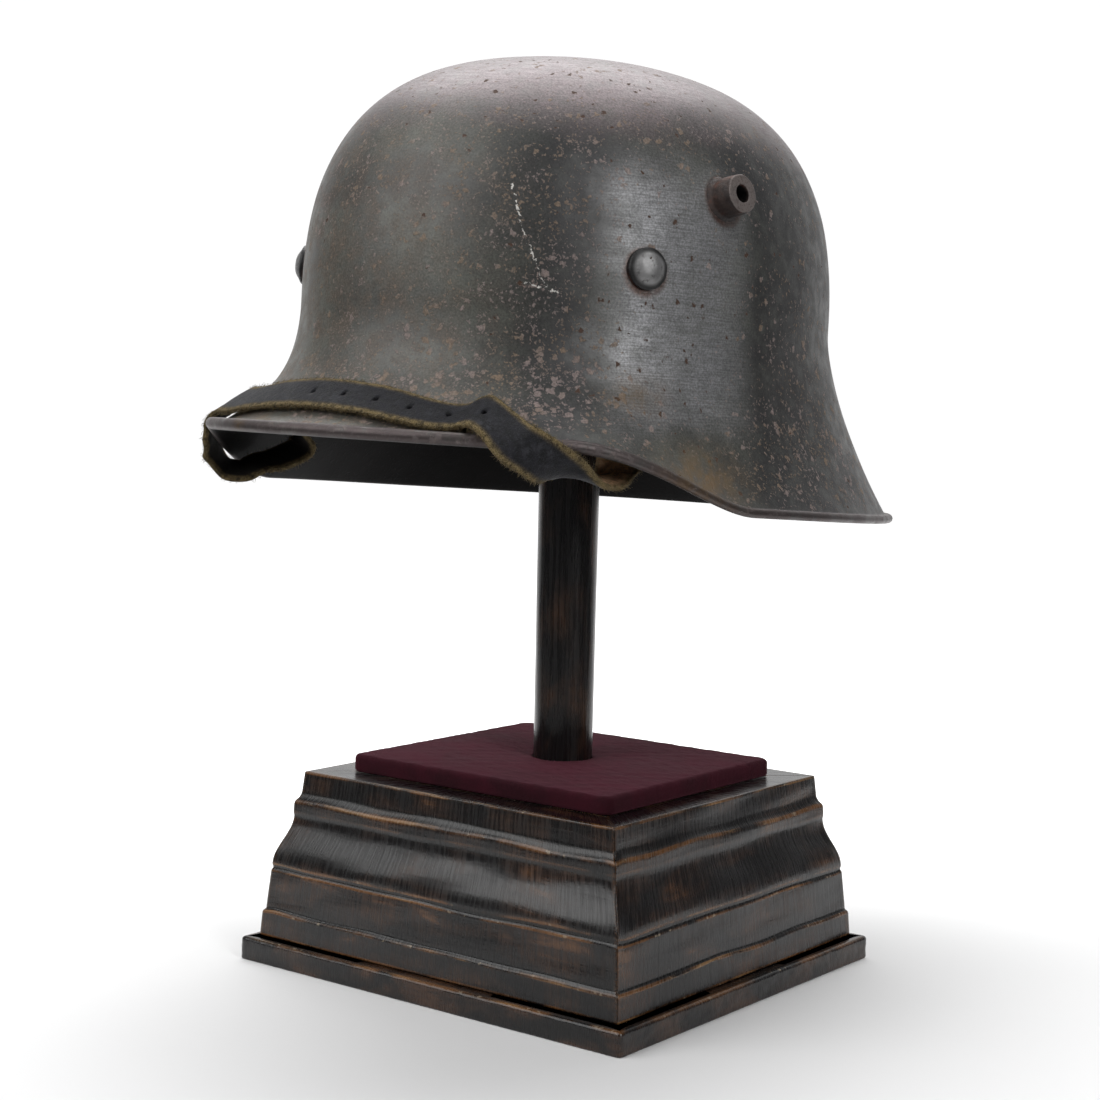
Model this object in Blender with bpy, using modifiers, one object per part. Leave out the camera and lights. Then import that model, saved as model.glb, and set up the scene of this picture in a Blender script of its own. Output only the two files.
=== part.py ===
# Steel helmet with a stepped visor and flared skirt, on a wooden display stand.
# Metres, +Z up. The origin is the middle of the stand's underside. The visor faces -Y and the
# wearer's left is +X. Helmet pieces are modelled upright round their own axis, with height zero
# at the back of the rim, and hang from one empty that turns and tips them onto the stand.

import bpy
import bmesh
import numpy as np
from mathutils import Matrix, Vector

MM = 0.001

# Clearances
GAP = 0.3 * MM               # between pieces that touch on the real object
STRAP_GAP = 1.0 * MM         # between the strap and the steel that it lies on

# Shell: plan at the band, where the dome meets the wall
BAND_HALF_WIDTH = 93.5 * MM
BAND_HALF_LENGTH = 116.0 * MM
BAND_HEIGHT = 73.0 * MM
PLAN_ROUNDNESS = 2.16        # power of the superellipse, 2 is a true ellipse
CROWN_RISE = 99.9 * MM
CROWN_SIDE_POWER = 2.85
CROWN_TOP_POWER = 2.62
SHEET = 1.2 * MM

# Rim: visor in front, a step down on each side, and the skirt round the back
RIM_HALF_WIDTH = 117.5 * MM
RIM_FRONT = 152.1 * MM
RIM_REAR = 154.9 * MM
RIM_ROUNDNESS = 2.15
RIM_WAIST = 2.3 * MM         # how far the rim is drawn in where the visor steps down
WAIST_TURN = 66.0
WAIST_SPREAD = 20.0
VISOR_HEIGHT = 27.0 * MM
VISOR_FALL = 2.5 * MM
SKIRT_FALL = 8.9 * MM        # how much lower the rim is at the back than at the step
STEP_START = 33.7            # degrees round from the middle of the visor
STEP_END = 67.1
ROLL_VISOR = 2.25 * MM       # radius of the rolled edge
ROLL_SKIRT = 1.75 * MM

# Lean and flare of the wall: lean is outward run for each unit of height, flare is the power of
# the curve that carries the wall out to the rim
WALL = [
    {"turn": 0.0, "lean": 0.11, "flare": 3.1},
    {"turn": 60.0, "lean": 0.15, "flare": 3.1},
    {"turn": 120.0, "lean": 0.06, "flare": 1.5},
    {"turn": 180.0, "lean": 0.10, "flare": 2.2},
]
LEAN_POWER = 1.5             # of the curve that brings the lean in down the wall

# How finely the shell is divided
MERIDIANS = 72
OUTER_ROWS = 20
INNER_ROWS = 14
ROLL_ROWS = 7
FINE_ROWS = 160

# Liner rivets and vent lugs
RIVET_TURN = 46.7
RIVET_HEIGHT = 89.1 * MM
REAR_RIVET_HEIGHT = 78.0 * MM
RIVET_HEAD_RADIUS = 7.5 * MM
RIVET_HEAD_RISE = 4.6 * MM
RIVET_SHANK_RADIUS = 2.2 * MM
RIVET_CLINCH_RADIUS = 4.6 * MM
RIVET_CLINCH = 1.0 * MM
RIVET_CLINCH_TAPER = 0.4 * MM
RIVET_DOME_POWER = 1.3       # of the cosine that gives the dome, over 1 leaves it pointed
LUG_TURN = 66.8
LUG_HEIGHT = 117.0 * MM
LUG_LENGTH = 9.4 * MM
LUG_TIP_RADIUS = 7.0 * MM
LUG_BASE_RADIUS = 8.0 * MM
LUG_EDGE = 0.7 * MM           # chamfer round the tip
LUG_BORE_RADIUS = 3.2 * MM
LUG_SHANK_RADIUS = 4.6 * MM
LUG_SHANK_INSIDE = 2.0 * MM
LUG_AIM = 76.4               # degrees round that it points, and degrees up from level
LUG_TILT = 10.9

# How the lug swells to its base: up in shares of its length, swell in shares of base less tip
LUG_SWELL = [
    {"up": 0.55, "swell": 0.15},
    {"up": 0.20, "swell": 0.55},
    {"up": 0.00, "swell": 1.00},
]

# Chin strap
STRAP_WIDTH = 16.0 * MM
STRAP_THICKNESS = 2.5 * MM
STRAP_HOLE_RADIUS = 1.3 * MM
STRAP_HOLE_PITCH = 15.0 * MM
STRAP_HOLES = 6
STRAP_FIRST_HOLE = -18.5 * MM   # along the strap from the middle of the visor
STRAP_TAIL = 9.0 * MM        # leather beyond the rivet at each end
STRAP_STATIONS = 118
STRAP_FINE = 1200            # steps that its length is measured in
STRAP_SETTLES = 30           # passes that ease the strap clear of the rolled edge

# Where the strap lies on the visor: its middle, in strap widths up from the rim
STRAP_ON_VISOR = [
    {"turn": -26.0, "up": 0.98},
    {"turn": -16.0, "up": 1.28},
    {"turn": -6.0, "up": 1.40},
    {"turn": 4.5, "up": 1.24},
    {"turn": 13.5, "up": 0.86},
    {"turn": 18.5, "up": 0.68},
]

# Loose run at each end, from the visor round under its edge. inset and rise are the middle's
# place from the rim and from the visor's height, in strap widths. lean turns the strap's width
# from level inward, 0, through upright, 90, to level outward, 180, and swing turns it along
STRAP_LEFT_RUN = [
    {"turn": 22.5, "inset": 0.24, "rise": 0.41, "lean": 42.0, "swing": 0.0},
    {"turn": 25.5, "inset": 0.00, "rise": 0.09, "lean": 53.0, "swing": 0.0},
    {"turn": 28.5, "inset": -0.27, "rise": -0.15, "lean": 84.0, "swing": 0.0},
    {"turn": 31.5, "inset": -0.08, "rise": -0.38, "lean": 130.0, "swing": 0.0},
    {"turn": 35.0, "inset": 0.34, "rise": -0.56, "lean": 167.0, "swing": 0.0},
    {"turn": 38.0, "inset": 0.62, "rise": -0.66, "lean": 190.0, "swing": 0.0},
    {"turn": 41.0, "inset": 0.92, "rise": -0.70, "lean": 192.0, "swing": 4.0},
    {"turn": 44.0, "inset": 1.22, "rise": -0.62, "lean": 188.0, "swing": 18.0},
]
STRAP_RIGHT_RUN = [
    {"turn": 41.0, "inset": 0.24, "rise": 0.31, "lean": 42.0, "swing": 0.0},
    {"turn": 43.8, "inset": 0.00, "rise": -0.10, "lean": 55.0, "swing": 0.0},
    {"turn": 46.5, "inset": -0.27, "rise": -0.46, "lean": 86.0, "swing": 0.0},
    {"turn": 48.5, "inset": -0.02, "rise": -0.86, "lean": 135.0, "swing": 0.0},
    {"turn": 50.5, "inset": 0.36, "rise": -0.98, "lean": 166.0, "swing": 0.0},
    {"turn": 52.5, "inset": 0.76, "rise": -0.92, "lean": 177.0, "swing": 0.0},
    {"turn": 54.3, "inset": 1.16, "rise": -0.76, "lean": 182.0, "swing": 6.0},
    {"turn": 55.5, "inset": 1.55, "rise": -0.46, "lean": 186.0, "swing": 25.0},
]
# Rise inside the wall to the rivet: height in shares of the rivet's height, off in strap widths
# from where it lies on the wall
STRAP_RISE = [
    {"height": 0.36, "off": 0.46, "swing": 62.0},
    {"height": 0.55, "off": 0.18, "swing": 84.0},
    {"height": 0.78, "off": 0.00, "swing": 90.0},
]

# Helmet's seat on the stand
SEAT_X = -1.1 * MM
SEAT_Y = -2.8 * MM
HELMET_YAW = 4.4
HELMET_PITCH = -1.5
HELMET_ROLL = 1.0

# Stand
PLINTH_WIDTH = 185.2 * MM
PLINTH_DEPTH = 170.2 * MM
PLINTH_HEIGHT = 9.0 * MM
PLINTH_EDGE = 1.0 * MM
TOP_WIDTH = 151.2 * MM
TOP_DEPTH = 136.2 * MM
MOULDING_HEIGHT = 64.9 * MM
MOULDING_FLARE = 11.6 * MM
MOULDING_STOCK = 14.0 * MM
DECK_THICKNESS = 12.0 * MM
PAD_INSET = 12.6 * MM
PAD_THICKNESS = 7.0 * MM
PAD_CORNER = 4.5 * MM
PAD_EDGE = 2.0 * MM
POST_TOP_RADIUS = 12.3 * MM
POST_BOTTOM_RADIUS = 11.8 * MM
POST_RISE = 247.6 * MM       # from the velvet to the top of the post
POST_SOCKET = 8.0 * MM       # how deep the post stands in the deck
HEAD_RADIUS = 40.0 * MM
HEAD_SOCKET = 12.0 * MM      # how deep the post stands in the head
HEAD_DEPTH = 34.4 * MM       # from the head's underside to the shell over it

# Moulding profile from the top edge down, in shares of its height and flare
MOULDING_TOP = [
    {"down": 0.000, "out": 0.00},
    {"down": 0.135, "out": 0.07},
    {"down": 0.160, "out": 0.13},
    {"down": 0.180, "out": 0.23},
    {"down": 0.200, "out": 0.25},
    {"down": 0.252, "out": 0.26},
    {"down": 0.262, "out": 0.24},
]
OGEE_END = {"down": 0.570, "out": 0.74}
OGEE_STEPS = 9
MOULDING_FOOT = [
    {"down": 0.585, "out": 0.70},
    {"down": 0.600, "out": 0.76},
    {"down": 0.825, "out": 0.86},
    {"down": 0.835, "out": 0.85},
    {"down": 0.850, "out": 0.95},
    {"down": 1.000, "out": 1.00},
]

# How finely turned pieces and round holes are divided
ROUND_SIDES = 20
SMALL_SIDES = 16
STRAP_HOLE_SIDES = 10
HEAD_SIDES = 32
DOME_POINTS = 8

# Levels that follow from the sizes
MOULDING_BASE = PLINTH_HEIGHT + GAP
TOP_LEVEL = MOULDING_BASE + MOULDING_HEIGHT
PAD_BASE = TOP_LEVEL + GAP
PAD_TOP = PAD_BASE + PAD_THICKNESS
POST_FOOT = TOP_LEVEL - POST_SOCKET + GAP
POST_TOP = PAD_TOP + POST_RISE
HEAD_BASE = POST_TOP + GAP - HEAD_SOCKET
SHELL_TOP = BAND_HEIGHT + CROWN_RISE
SEAT_Z = HEAD_BASE + HEAD_DEPTH + SHEET - SHELL_TOP


def smooth(t):
    return t * t * (3.0 - 2.0 * t)


def wall_value(column, turn):
    """Value of a column of WALL at a turn in degrees, eased from row to row."""
    turns = np.array([row["turn"] for row in WALL])
    values = np.array([row[column] for row in WALL])
    side = abs(turn)
    row = min(int(np.searchsorted(turns, side, side="right")) - 1, len(WALL) - 2)
    t = smooth((side - turns[row]) / (turns[row + 1] - turns[row]))
    return values[row] * (1.0 - t) + values[row + 1] * t


def oval(turn, half_width, half_length, power):
    """Radius of a superellipse at a turn from -Y."""
    angle = np.radians(turn)
    across = abs(np.sin(angle)) / half_width
    along = abs(np.cos(angle)) / half_length
    return (across ** power + along ** power) ** (-1.0 / power)


def step_share(turn):
    """0 on the visor, 1 on the skirt, eased through the step."""
    return smooth(float(np.clip((abs(turn) - STEP_START) / (STEP_END - STEP_START), 0.0, 1.0)))


def rim(turn):
    """Radius and height of the sheet's edge."""
    angle = np.radians(turn)
    length = RIM_FRONT if np.cos(angle) >= 0.0 else RIM_REAR
    waist = RIM_WAIST * np.exp(-((abs(turn) - WAIST_TURN) / WAIST_SPREAD) ** 2)
    radius = oval(turn, RIM_HALF_WIDTH, length, RIM_ROUNDNESS) - waist
    visor = VISOR_HEIGHT - VISOR_FALL * np.sin(min(abs(angle), np.pi / 2)) ** 2
    skirt = SKIRT_FALL * (1.0 + np.cos(angle)) / 2.0
    return radius, visor + (skirt - visor) * step_share(turn)


def meridian(turn, offset=0.0, rows=FINE_ROWS):
    """Radius and height from the crown down to the rim, evenly spaced, offset outward."""
    band = oval(turn, BAND_HALF_WIDTH, BAND_HALF_LENGTH, PLAN_ROUNDNESS)
    rim_radius, rim_height = rim(turn)
    drop = BAND_HEIGHT - rim_height
    q = np.linspace(0.0, np.pi / 2, FINE_ROWS)
    dome_radius = band * np.sin(q) ** (2.0 / CROWN_SIDE_POWER)
    dome_height = BAND_HEIGHT + CROWN_RISE * np.clip(np.cos(q), 0.0, 1.0) ** (2.0 / CROWN_TOP_POWER)
    t = np.linspace(0.0, 1.0, FINE_ROWS)[1:]
    lean = wall_value("lean", turn) * drop
    flare = t ** wall_value("flare", turn)
    wall_radius = band + lean * t ** LEAN_POWER + (rim_radius - band - lean) * flare
    radius = np.concatenate([dome_radius, wall_radius])
    height = np.concatenate([dome_height, BAND_HEIGHT - drop * t])
    run = np.concatenate([[0.0], np.cumsum(np.hypot(np.diff(radius), np.diff(height)))])
    even = np.linspace(0.0, run[-1], rows)
    radius = np.interp(even, run, radius)
    height = np.interp(even, run, height)
    if offset:
        across = np.gradient(radius)
        down = np.gradient(height)
        size = np.hypot(across, down)
        across[0] = size[0]
        down[0] = 0.0
        radius = np.maximum(radius - offset * down / size, 0.0)
        height = height + offset * across / size
        radius[0] = 0.0
    return radius, height


def polar(turn, radius, height):
    angle = np.radians(turn)
    return np.array([radius * np.sin(angle), -radius * np.cos(angle), height])


def surface_at_height(turn, height, offset=0.0):
    """Point of the shell's outside at a turn and height, below the crown."""
    radius, heights = meridian(turn, offset)
    return polar(turn, np.interp(-height, -heights, radius), height)


def surface_up_from_rim(turn, distance):
    """Point of the shell's outside at a distance up its slope from the rim."""
    radius, heights = meridian(turn)
    run = np.concatenate([[0.0], np.cumsum(np.hypot(np.diff(radius), np.diff(heights)))])
    place = run[-1] - distance
    return polar(turn, np.interp(place, run, radius), np.interp(place, run, heights))


def unit(vector):
    return vector / np.linalg.norm(vector)


def surface_frame(turn, height):
    """Outward normal, and the level direction that goes round the shell, at a point."""
    step = 1.5 * MM
    around = surface_at_height(turn + 1.0, height) - surface_at_height(turn - 1.0, height)
    up = surface_at_height(turn, height + step) - surface_at_height(turn, height - step)
    return unit(np.cross(around, up)), unit(around)


def rim_frame(turn):
    """The rim's point, the level direction out of it and the level direction along it."""
    ahead = polar(turn + 1.0, *rim(turn + 1.0))
    behind = polar(turn - 1.0, *rim(turn - 1.0))
    along = ahead - behind
    along[2] = 0.0
    along = unit(along)
    return polar(turn, *rim(turn)), np.array([along[1], -along[0], 0.0]), along


def material(name, colour, roughness, metallic=0.0):
    made = bpy.data.materials.new(name)
    made.use_nodes = True
    shader = made.node_tree.nodes["Principled BSDF"]
    shader.inputs["Base Color"].default_value = (*colour, 1.0)
    shader.inputs["Roughness"].default_value = roughness
    shader.inputs["Metallic"].default_value = metallic
    made.diffuse_color = (*colour, 1.0)
    return made


def add_object(name, mesh, collection, surface=None, parent=None, smooth_shade=True):
    made = bpy.data.objects.new(name, mesh)
    collection.objects.link(made)
    if surface:
        mesh.materials.append(surface)
    if parent:
        made.parent = parent
    if smooth_shade:
        mesh.shade_smooth()
        mesh.set_sharp_from_angle(angle=np.radians(35.0))
    return made


def mark_cutter(cutter):
    cutter.hide_render = True
    cutter.display_type = "WIRE"


def loft(name, rings, first_pole=None, last_pole=None):
    """Mesh through rings of points, each end closed by a pole or a flat cap."""
    mesh = bpy.data.meshes.new(name)
    shape = bmesh.new()
    rows = [[shape.verts.new(point) for point in ring] for ring in rings]
    count = len(rows[0])
    for upper, lower in zip(rows[:-1], rows[1:]):
        for i in range(count):
            j = (i + 1) % count
            shape.faces.new((upper[i], upper[j], lower[j], lower[i]))
    for row, pole in ((rows[0], first_pole), (rows[-1], last_pole)):
        if pole is None:
            shape.faces.new(row)
        else:
            tip = shape.verts.new(pole)
            for i in range(count):
                shape.faces.new((row[i], row[(i + 1) % count], tip))
    bmesh.ops.recalc_face_normals(shape, faces=shape.faces)
    shape.to_mesh(mesh)
    shape.free()
    return mesh


def turned(name, profile, collection, surface, sides=ROUND_SIDES):
    """A profile of (radius, height) that runs down its outer side, turned round Z."""
    mesh = bpy.data.meshes.new(name)
    points = [(radius, 0.0, height) for radius, height in profile]
    mesh.from_pydata(points, [(i, i + 1) for i in range(len(points) - 1)], [])
    made = add_object(name, mesh, collection, surface, smooth_shade=False)
    screw = made.modifiers.new("turn", "SCREW")
    screw.steps = sides
    screw.render_steps = sides
    screw.use_merge_vertices = True
    screw.merge_threshold = 0.00001
    screw.use_smooth_shade = True
    return made


def cylinder(name, radius, low, high, collection, sides=ROUND_SIDES):
    mesh = bpy.data.meshes.new(name)
    shape = bmesh.new()
    place = Matrix.Translation((0.0, 0.0, (low + high) / 2.0))
    bmesh.ops.create_cone(
        shape, cap_ends=True, segments=sides, radius1=radius, radius2=radius,
        depth=high - low, matrix=place)
    shape.to_mesh(mesh)
    shape.free()
    made = add_object(name, mesh, collection, smooth_shade=False)
    mark_cutter(made)
    return made


def boolean(target, cutter, operation="DIFFERENCE"):
    cut = target.modifiers.new(cutter.name, "BOOLEAN")
    cut.operation = operation
    cut.object = cutter
    cut.solver = "EXACT"


def aim(piece, parent, point, direction):
    """Stand a piece's own Z along a direction at a point, in the parent's space."""
    z = Vector(direction).normalized()
    x = Vector((0.0, 0.0, 1.0)).cross(z).normalized()
    y = z.cross(x)
    turn = Matrix((x, y, z)).transposed()
    piece.parent = parent
    piece.location = point
    piece.rotation_euler = turn.to_euler()


def rim_roll(turn):
    """Middle and radius of the rolled edge, and the wall's slope and outward side there."""
    radius, height = meridian(turn)
    slope = unit(np.array([radius[-1] - radius[-6], height[-1] - height[-6]]))
    out = np.array([-slope[1], slope[0]])
    roll = ROLL_VISOR + (ROLL_SKIRT - ROLL_VISOR) * step_share(turn)
    middle = np.array([radius[-1], height[-1]]) + out * (roll - SHEET)
    return middle, roll, slope, out


def roll_points(turn):
    """How far back from the edge the roll starts, then its outline, ending on the inside."""
    middle, roll, slope, out = rim_roll(turn)
    back = np.sqrt(roll ** 2 - (roll - SHEET) ** 2)
    first = np.pi + np.arctan2(roll - SHEET, back)
    angles = np.linspace(first, -np.pi / 2, ROLL_ROWS + 2)
    circle = [middle + roll * (slope * np.cos(a) + out * np.sin(a)) for a in angles]
    return back, circle


def make_shell(collection, surface, seat):
    turns = np.linspace(-180.0, 180.0, MERIDIANS, endpoint=False)
    columns = []
    for turn in turns:
        back, circle = roll_points(turn)
        radius, height = meridian(turn)
        run = np.concatenate([[0.0], np.cumsum(np.hypot(np.diff(radius), np.diff(height)))])
        places = np.linspace(0.0, run[-1] - back, OUTER_ROWS + 2)[1:-1]
        outer = [(np.interp(d, run, radius), np.interp(d, run, height)) for d in places]
        in_radius, in_height = meridian(turn, -SHEET, INNER_ROWS + 2)
        inner = list(zip(in_radius[1:-1], in_height[1:-1]))[::-1]
        columns.append([polar(turn, *point) for point in outer + circle + inner])
    rings = list(zip(*columns))
    mesh = loft("shell", rings, (0.0, 0.0, SHELL_TOP), (0.0, 0.0, SHELL_TOP - SHEET))
    return add_object("shell", mesh, collection, surface, seat)


def make_bowl_solid(name, offset, rows, collection, seat):
    """Closed cutter that fills the shell, its skin offset outward from the shell's outside."""
    turns = np.linspace(-180.0, 180.0, MERIDIANS, endpoint=False)
    columns = []
    for turn in turns:
        radius, height = meridian(turn, offset, rows)
        columns.append([polar(turn, r, h) for r, h in zip(radius[1:], height[1:])])
    rings = list(zip(*columns))
    middle = (0.0, 0.0, float(np.mean([point[2] for point in rings[-1]])))
    mesh = loft(name, rings, (0.0, 0.0, SHELL_TOP + offset), middle)
    made = add_object(name, mesh, collection, None, seat, smooth_shade=False)
    mark_cutter(made)
    return made


def make_rivet(name, turn, height, depth, parts, cutters, surface, seat, shell):
    """Domed rivet whose shank goes depth below the outside, to a clinched end."""
    normal, _ = surface_frame(turn, height)
    point = surface_at_height(turn, height)
    dome = [
        (RIVET_HEAD_RADIUS * np.sin(a), GAP + RIVET_HEAD_RISE * np.cos(a) ** RIVET_DOME_POWER)
        for a in np.linspace(0.0, np.pi / 2, DOME_POINTS, endpoint=False)
    ]
    profile = dome + [
        (RIVET_HEAD_RADIUS, GAP),
        (RIVET_SHANK_RADIUS, GAP),
        (RIVET_SHANK_RADIUS, -depth),
        (RIVET_CLINCH_RADIUS, -depth),
        (RIVET_CLINCH_RADIUS - RIVET_CLINCH_TAPER, -depth - RIVET_CLINCH),
        (0.0, -depth - RIVET_CLINCH),
    ]
    profile[0] = (0.0, GAP + RIVET_HEAD_RISE)
    rivet = turned(name, profile, parts, surface)
    aim(rivet, seat, point, normal)
    hole = cylinder(
        name + "_hole", RIVET_SHANK_RADIUS + GAP, -depth - RIVET_CLINCH, RIVET_HEAD_RISE,
        cutters, SMALL_SIDES)
    aim(hole, seat, point, normal)
    boolean(shell, hole)
    return hole


def make_lug(name, side, parts, cutters, surface, seat, shell, seat_core):
    """Tapered boss that fits the shell, on a bored shank through its wall."""
    point = surface_at_height(side * LUG_TURN, LUG_HEIGHT)
    direction = unit(polar(side * LUG_AIM, 1.0, np.tan(np.radians(LUG_TILT))))
    root = -LUG_LENGTH
    spread = LUG_BASE_RADIUS - LUG_TIP_RADIUS
    profile = [
        (0.0, LUG_LENGTH),
        (LUG_TIP_RADIUS - LUG_EDGE, LUG_LENGTH),
        (LUG_TIP_RADIUS, LUG_LENGTH - LUG_EDGE),
    ]
    profile += [(LUG_TIP_RADIUS + row["swell"] * spread, row["up"] * LUG_LENGTH) for row in LUG_SWELL]
    profile += [(LUG_BASE_RADIUS, root), (0.0, root)]
    lug = turned(name, profile, parts, surface)
    aim(lug, seat, point, direction)
    boolean(lug, seat_core)
    inside = 2.0 * LUG_SHANK_RADIUS + SHEET + LUG_SHANK_INSIDE
    shank = cylinder(name + "_shank", LUG_SHANK_RADIUS, -inside, 0.6 * LUG_LENGTH, cutters)
    aim(shank, seat, point, direction)
    boolean(lug, shank, "UNION")
    bore = cylinder(name + "_bore", LUG_BORE_RADIUS, -2.0 * inside, 2.0 * LUG_LENGTH, cutters)
    aim(bore, seat, point, direction)
    boolean(lug, bore)
    hole = cylinder(name + "_hole", LUG_SHANK_RADIUS + GAP, -2.0 * inside, LUG_LENGTH, cutters)
    aim(hole, seat, point, direction)
    boolean(shell, hole)


def strap_end(side):
    """Stations of one end, from the crossing to beyond the rivet, as (middle, width)."""
    run = STRAP_LEFT_RUN if side > 0 else STRAP_RIGHT_RUN
    stations = []
    for row in run:
        turn = side * row["turn"]
        point, out, along = rim_frame(turn)
        point = point - out * row["inset"] * STRAP_WIDTH
        point[2] = VISOR_HEIGHT + row["rise"] * STRAP_WIDTH
        lean = np.radians(row["lean"])
        swing = np.radians(row["swing"])
        across = -np.cos(lean) * out + np.sin(lean) * np.array([0.0, 0.0, 1.0])
        stations.append((point, np.cos(swing) * across + np.sin(swing) * side * along))
    start = side * run[-1]["turn"]
    seat_off = SHEET + STRAP_GAP + STRAP_THICKNESS / 2.0
    for row in STRAP_RISE:
        share = row["height"]
        turn = start + (side * RIVET_TURN - start) * smooth(share)
        height = share * RIVET_HEIGHT
        normal, around = surface_frame(turn, height)
        point = surface_at_height(turn, height)
        point = point - normal * (seat_off + row["off"] * STRAP_WIDTH)
        swing = np.radians(row["swing"])
        stations.append((point, np.cos(swing) * normal + np.sin(swing) * side * around))
    for height in (RIVET_HEIGHT, RIVET_HEIGHT + STRAP_TAIL):
        normal, around = surface_frame(side * RIVET_TURN, height)
        point = surface_at_height(side * RIVET_TURN, height) - normal * seat_off
        stations.append((point, side * around))
    return stations


def strap_over_visor():
    stations = []
    for row in STRAP_ON_VISOR:
        low = surface_up_from_rim(row["turn"], (row["up"] - 0.5) * STRAP_WIDTH)
        high = surface_up_from_rim(row["turn"], (row["up"] + 0.5) * STRAP_WIDTH)
        across = unit(high - low)
        around = rim_frame(row["turn"])[2]
        face = unit(np.cross(around, across))
        middle = (low + high) / 2.0 + face * (STRAP_THICKNESS / 2.0 + STRAP_GAP)
        stations.append((middle, across))
    return stations


def cubic_through(knots, values, places):
    """Smooth curve through values at knots, with slopes that never overshoot by much."""
    steps = np.diff(knots)[:, None]
    secants = np.diff(values, axis=0) / steps
    slopes = np.empty_like(values)
    weight = steps[1:] + steps[:-1]
    slopes[1:-1] = (secants[:-1] * steps[1:] + secants[1:] * steps[:-1]) / weight
    slopes[0] = secants[0]
    slopes[-1] = secants[-1]
    row = np.clip(np.searchsorted(knots, places, side="right") - 1, 0, len(knots) - 2)
    h = steps[row]
    t = ((places - knots[row])[:, None]) / h
    a = values[row] * (1.0 + 2.0 * t) * (1.0 - t) ** 2
    b = values[row + 1] * t * t * (3.0 - 2.0 * t)
    c = slopes[row] * h * t * (1.0 - t) ** 2
    d = slopes[row + 1] * h * t * t * (t - 1.0)
    return a + b + c + d


def clear_of_roll(path, width):
    """Push each station away from the nearest point of the rolled edge until it clears it."""
    turns = np.linspace(-90.0, 90.0, 181)
    rolls = [rim_roll(turn) for turn in turns]
    middles = np.array([polar(turn, *roll[0]) for turn, roll in zip(turns, rolls)])
    reach = np.array([roll[1] for roll in rolls]) + STRAP_THICKNESS / 2.0 + STRAP_GAP
    shares = np.linspace(-0.5, 0.5, 17)[None, :, None] * STRAP_WIDTH
    path = path.copy()
    for _ in range(STRAP_SETTLES):
        spots = path[:, None, :] + shares * width[:, None, :]
        away = spots[:, :, None, :] - middles[None, None, :, :]
        distance = np.linalg.norm(away, axis=3)
        short = reach[None, None, :] - distance
        flat = short.reshape(len(path), -1)
        worst = np.argmax(flat, axis=1)
        rows = np.arange(len(path))
        push = away.reshape(len(path), -1, 3)[rows, worst]
        push /= np.linalg.norm(push, axis=1, keepdims=True)
        push *= np.maximum(flat[rows, worst], 0.0)[:, None]
        path[1:-1] += (push[:-2] + 2.0 * push[1:-1] + push[2:]) / 4.0
    return path


def strap_path():
    """Middle, width direction and face direction at even steps along the whole strap."""
    stations = strap_end(-1.0)[::-1] + strap_over_visor() + strap_end(1.0)
    places = np.array([station[0] for station in stations])
    widths = np.array([station[1] for station in stations])
    run = np.concatenate([[0.0], np.cumsum(np.linalg.norm(np.diff(places, axis=0), axis=1))])
    fine = np.linspace(0.0, run[-1], STRAP_FINE)
    both = cubic_through(run, np.hstack([places, widths]), fine)
    path = both[:, :3]
    length = np.concatenate([[0.0], np.cumsum(np.linalg.norm(np.diff(path, axis=0), axis=1))])
    even = np.linspace(0.0, length[-1], STRAP_STATIONS)
    even_run = np.interp(even, length, fine)
    both = cubic_through(run, np.hstack([places, widths]), even_run)
    path = both[:, :3]
    ahead = np.gradient(path, axis=0)
    ahead /= np.linalg.norm(ahead, axis=1, keepdims=True)
    width = both[:, 3:]
    width -= ahead * np.sum(width * ahead, axis=1, keepdims=True)
    width /= np.linalg.norm(width, axis=1, keepdims=True)
    path = clear_of_roll(path, width)
    return even, path, width, np.cross(ahead, width)


def make_strap(parts, cutters, surface, seat, rivet_holes):
    places, path, width, face = strap_path()
    half = width * STRAP_WIDTH / 2.0
    thick = face * STRAP_THICKNESS / 2.0
    corners = (path - half - thick, path + half - thick, path + half + thick, path - half + thick)
    rings = list(zip(*corners))
    strap = add_object(
        "chin_strap", loft("chin_strap", rings), parts, surface, seat, smooth_shade=False)
    for hole in rivet_holes:
        boolean(strap, hole)
    on_visor = path[:, 1] < path[:, 1].min() / 2.0
    middle = places[on_visor][np.argmin(np.abs(path[on_visor, 0]))]
    for i in range(STRAP_HOLES):
        place = middle + STRAP_FIRST_HOLE + i * STRAP_HOLE_PITCH
        point = np.array([np.interp(place, places, path[:, k]) for k in range(3)])
        direction = np.array([np.interp(place, places, face[:, k]) for k in range(3)])
        reach = STRAP_THICKNESS
        hole = cylinder(
            "strap_hole_%d" % (i + 1), STRAP_HOLE_RADIUS, -reach, reach, cutters,
            STRAP_HOLE_SIDES)
        aim(hole, seat, point, direction)
        boolean(strap, hole)


def rounded_block(name, width, depth, low, high, corner, edge, parts, surface):
    """Block with upright corners rounded by corner and its upper edges by edge."""
    mesh = bpy.data.meshes.new(name)
    shape = bmesh.new()
    bmesh.ops.create_cube(shape, size=1.0)
    bmesh.ops.scale(shape, vec=(width, depth, high - low), verts=shape.verts)
    bmesh.ops.translate(shape, vec=(0.0, 0.0, (low + high) / 2.0), verts=shape.verts)
    if corner:
        upright = [e for e in shape.edges if abs(e.verts[0].co.z - e.verts[1].co.z) > edge]
        bmesh.ops.bevel(
            shape, geom=upright, offset=corner, segments=4, profile=0.5, affect="EDGES")
    upper = [e for e in shape.edges if min(v.co.z for v in e.verts) > high - edge / 2.0]
    bmesh.ops.bevel(shape, geom=upper, offset=edge, segments=3, profile=0.5, affect="EDGES")
    bmesh.ops.recalc_face_normals(shape, faces=shape.faces)
    shape.to_mesh(mesh)
    shape.free()
    return add_object(name, mesh, parts, surface)


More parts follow.
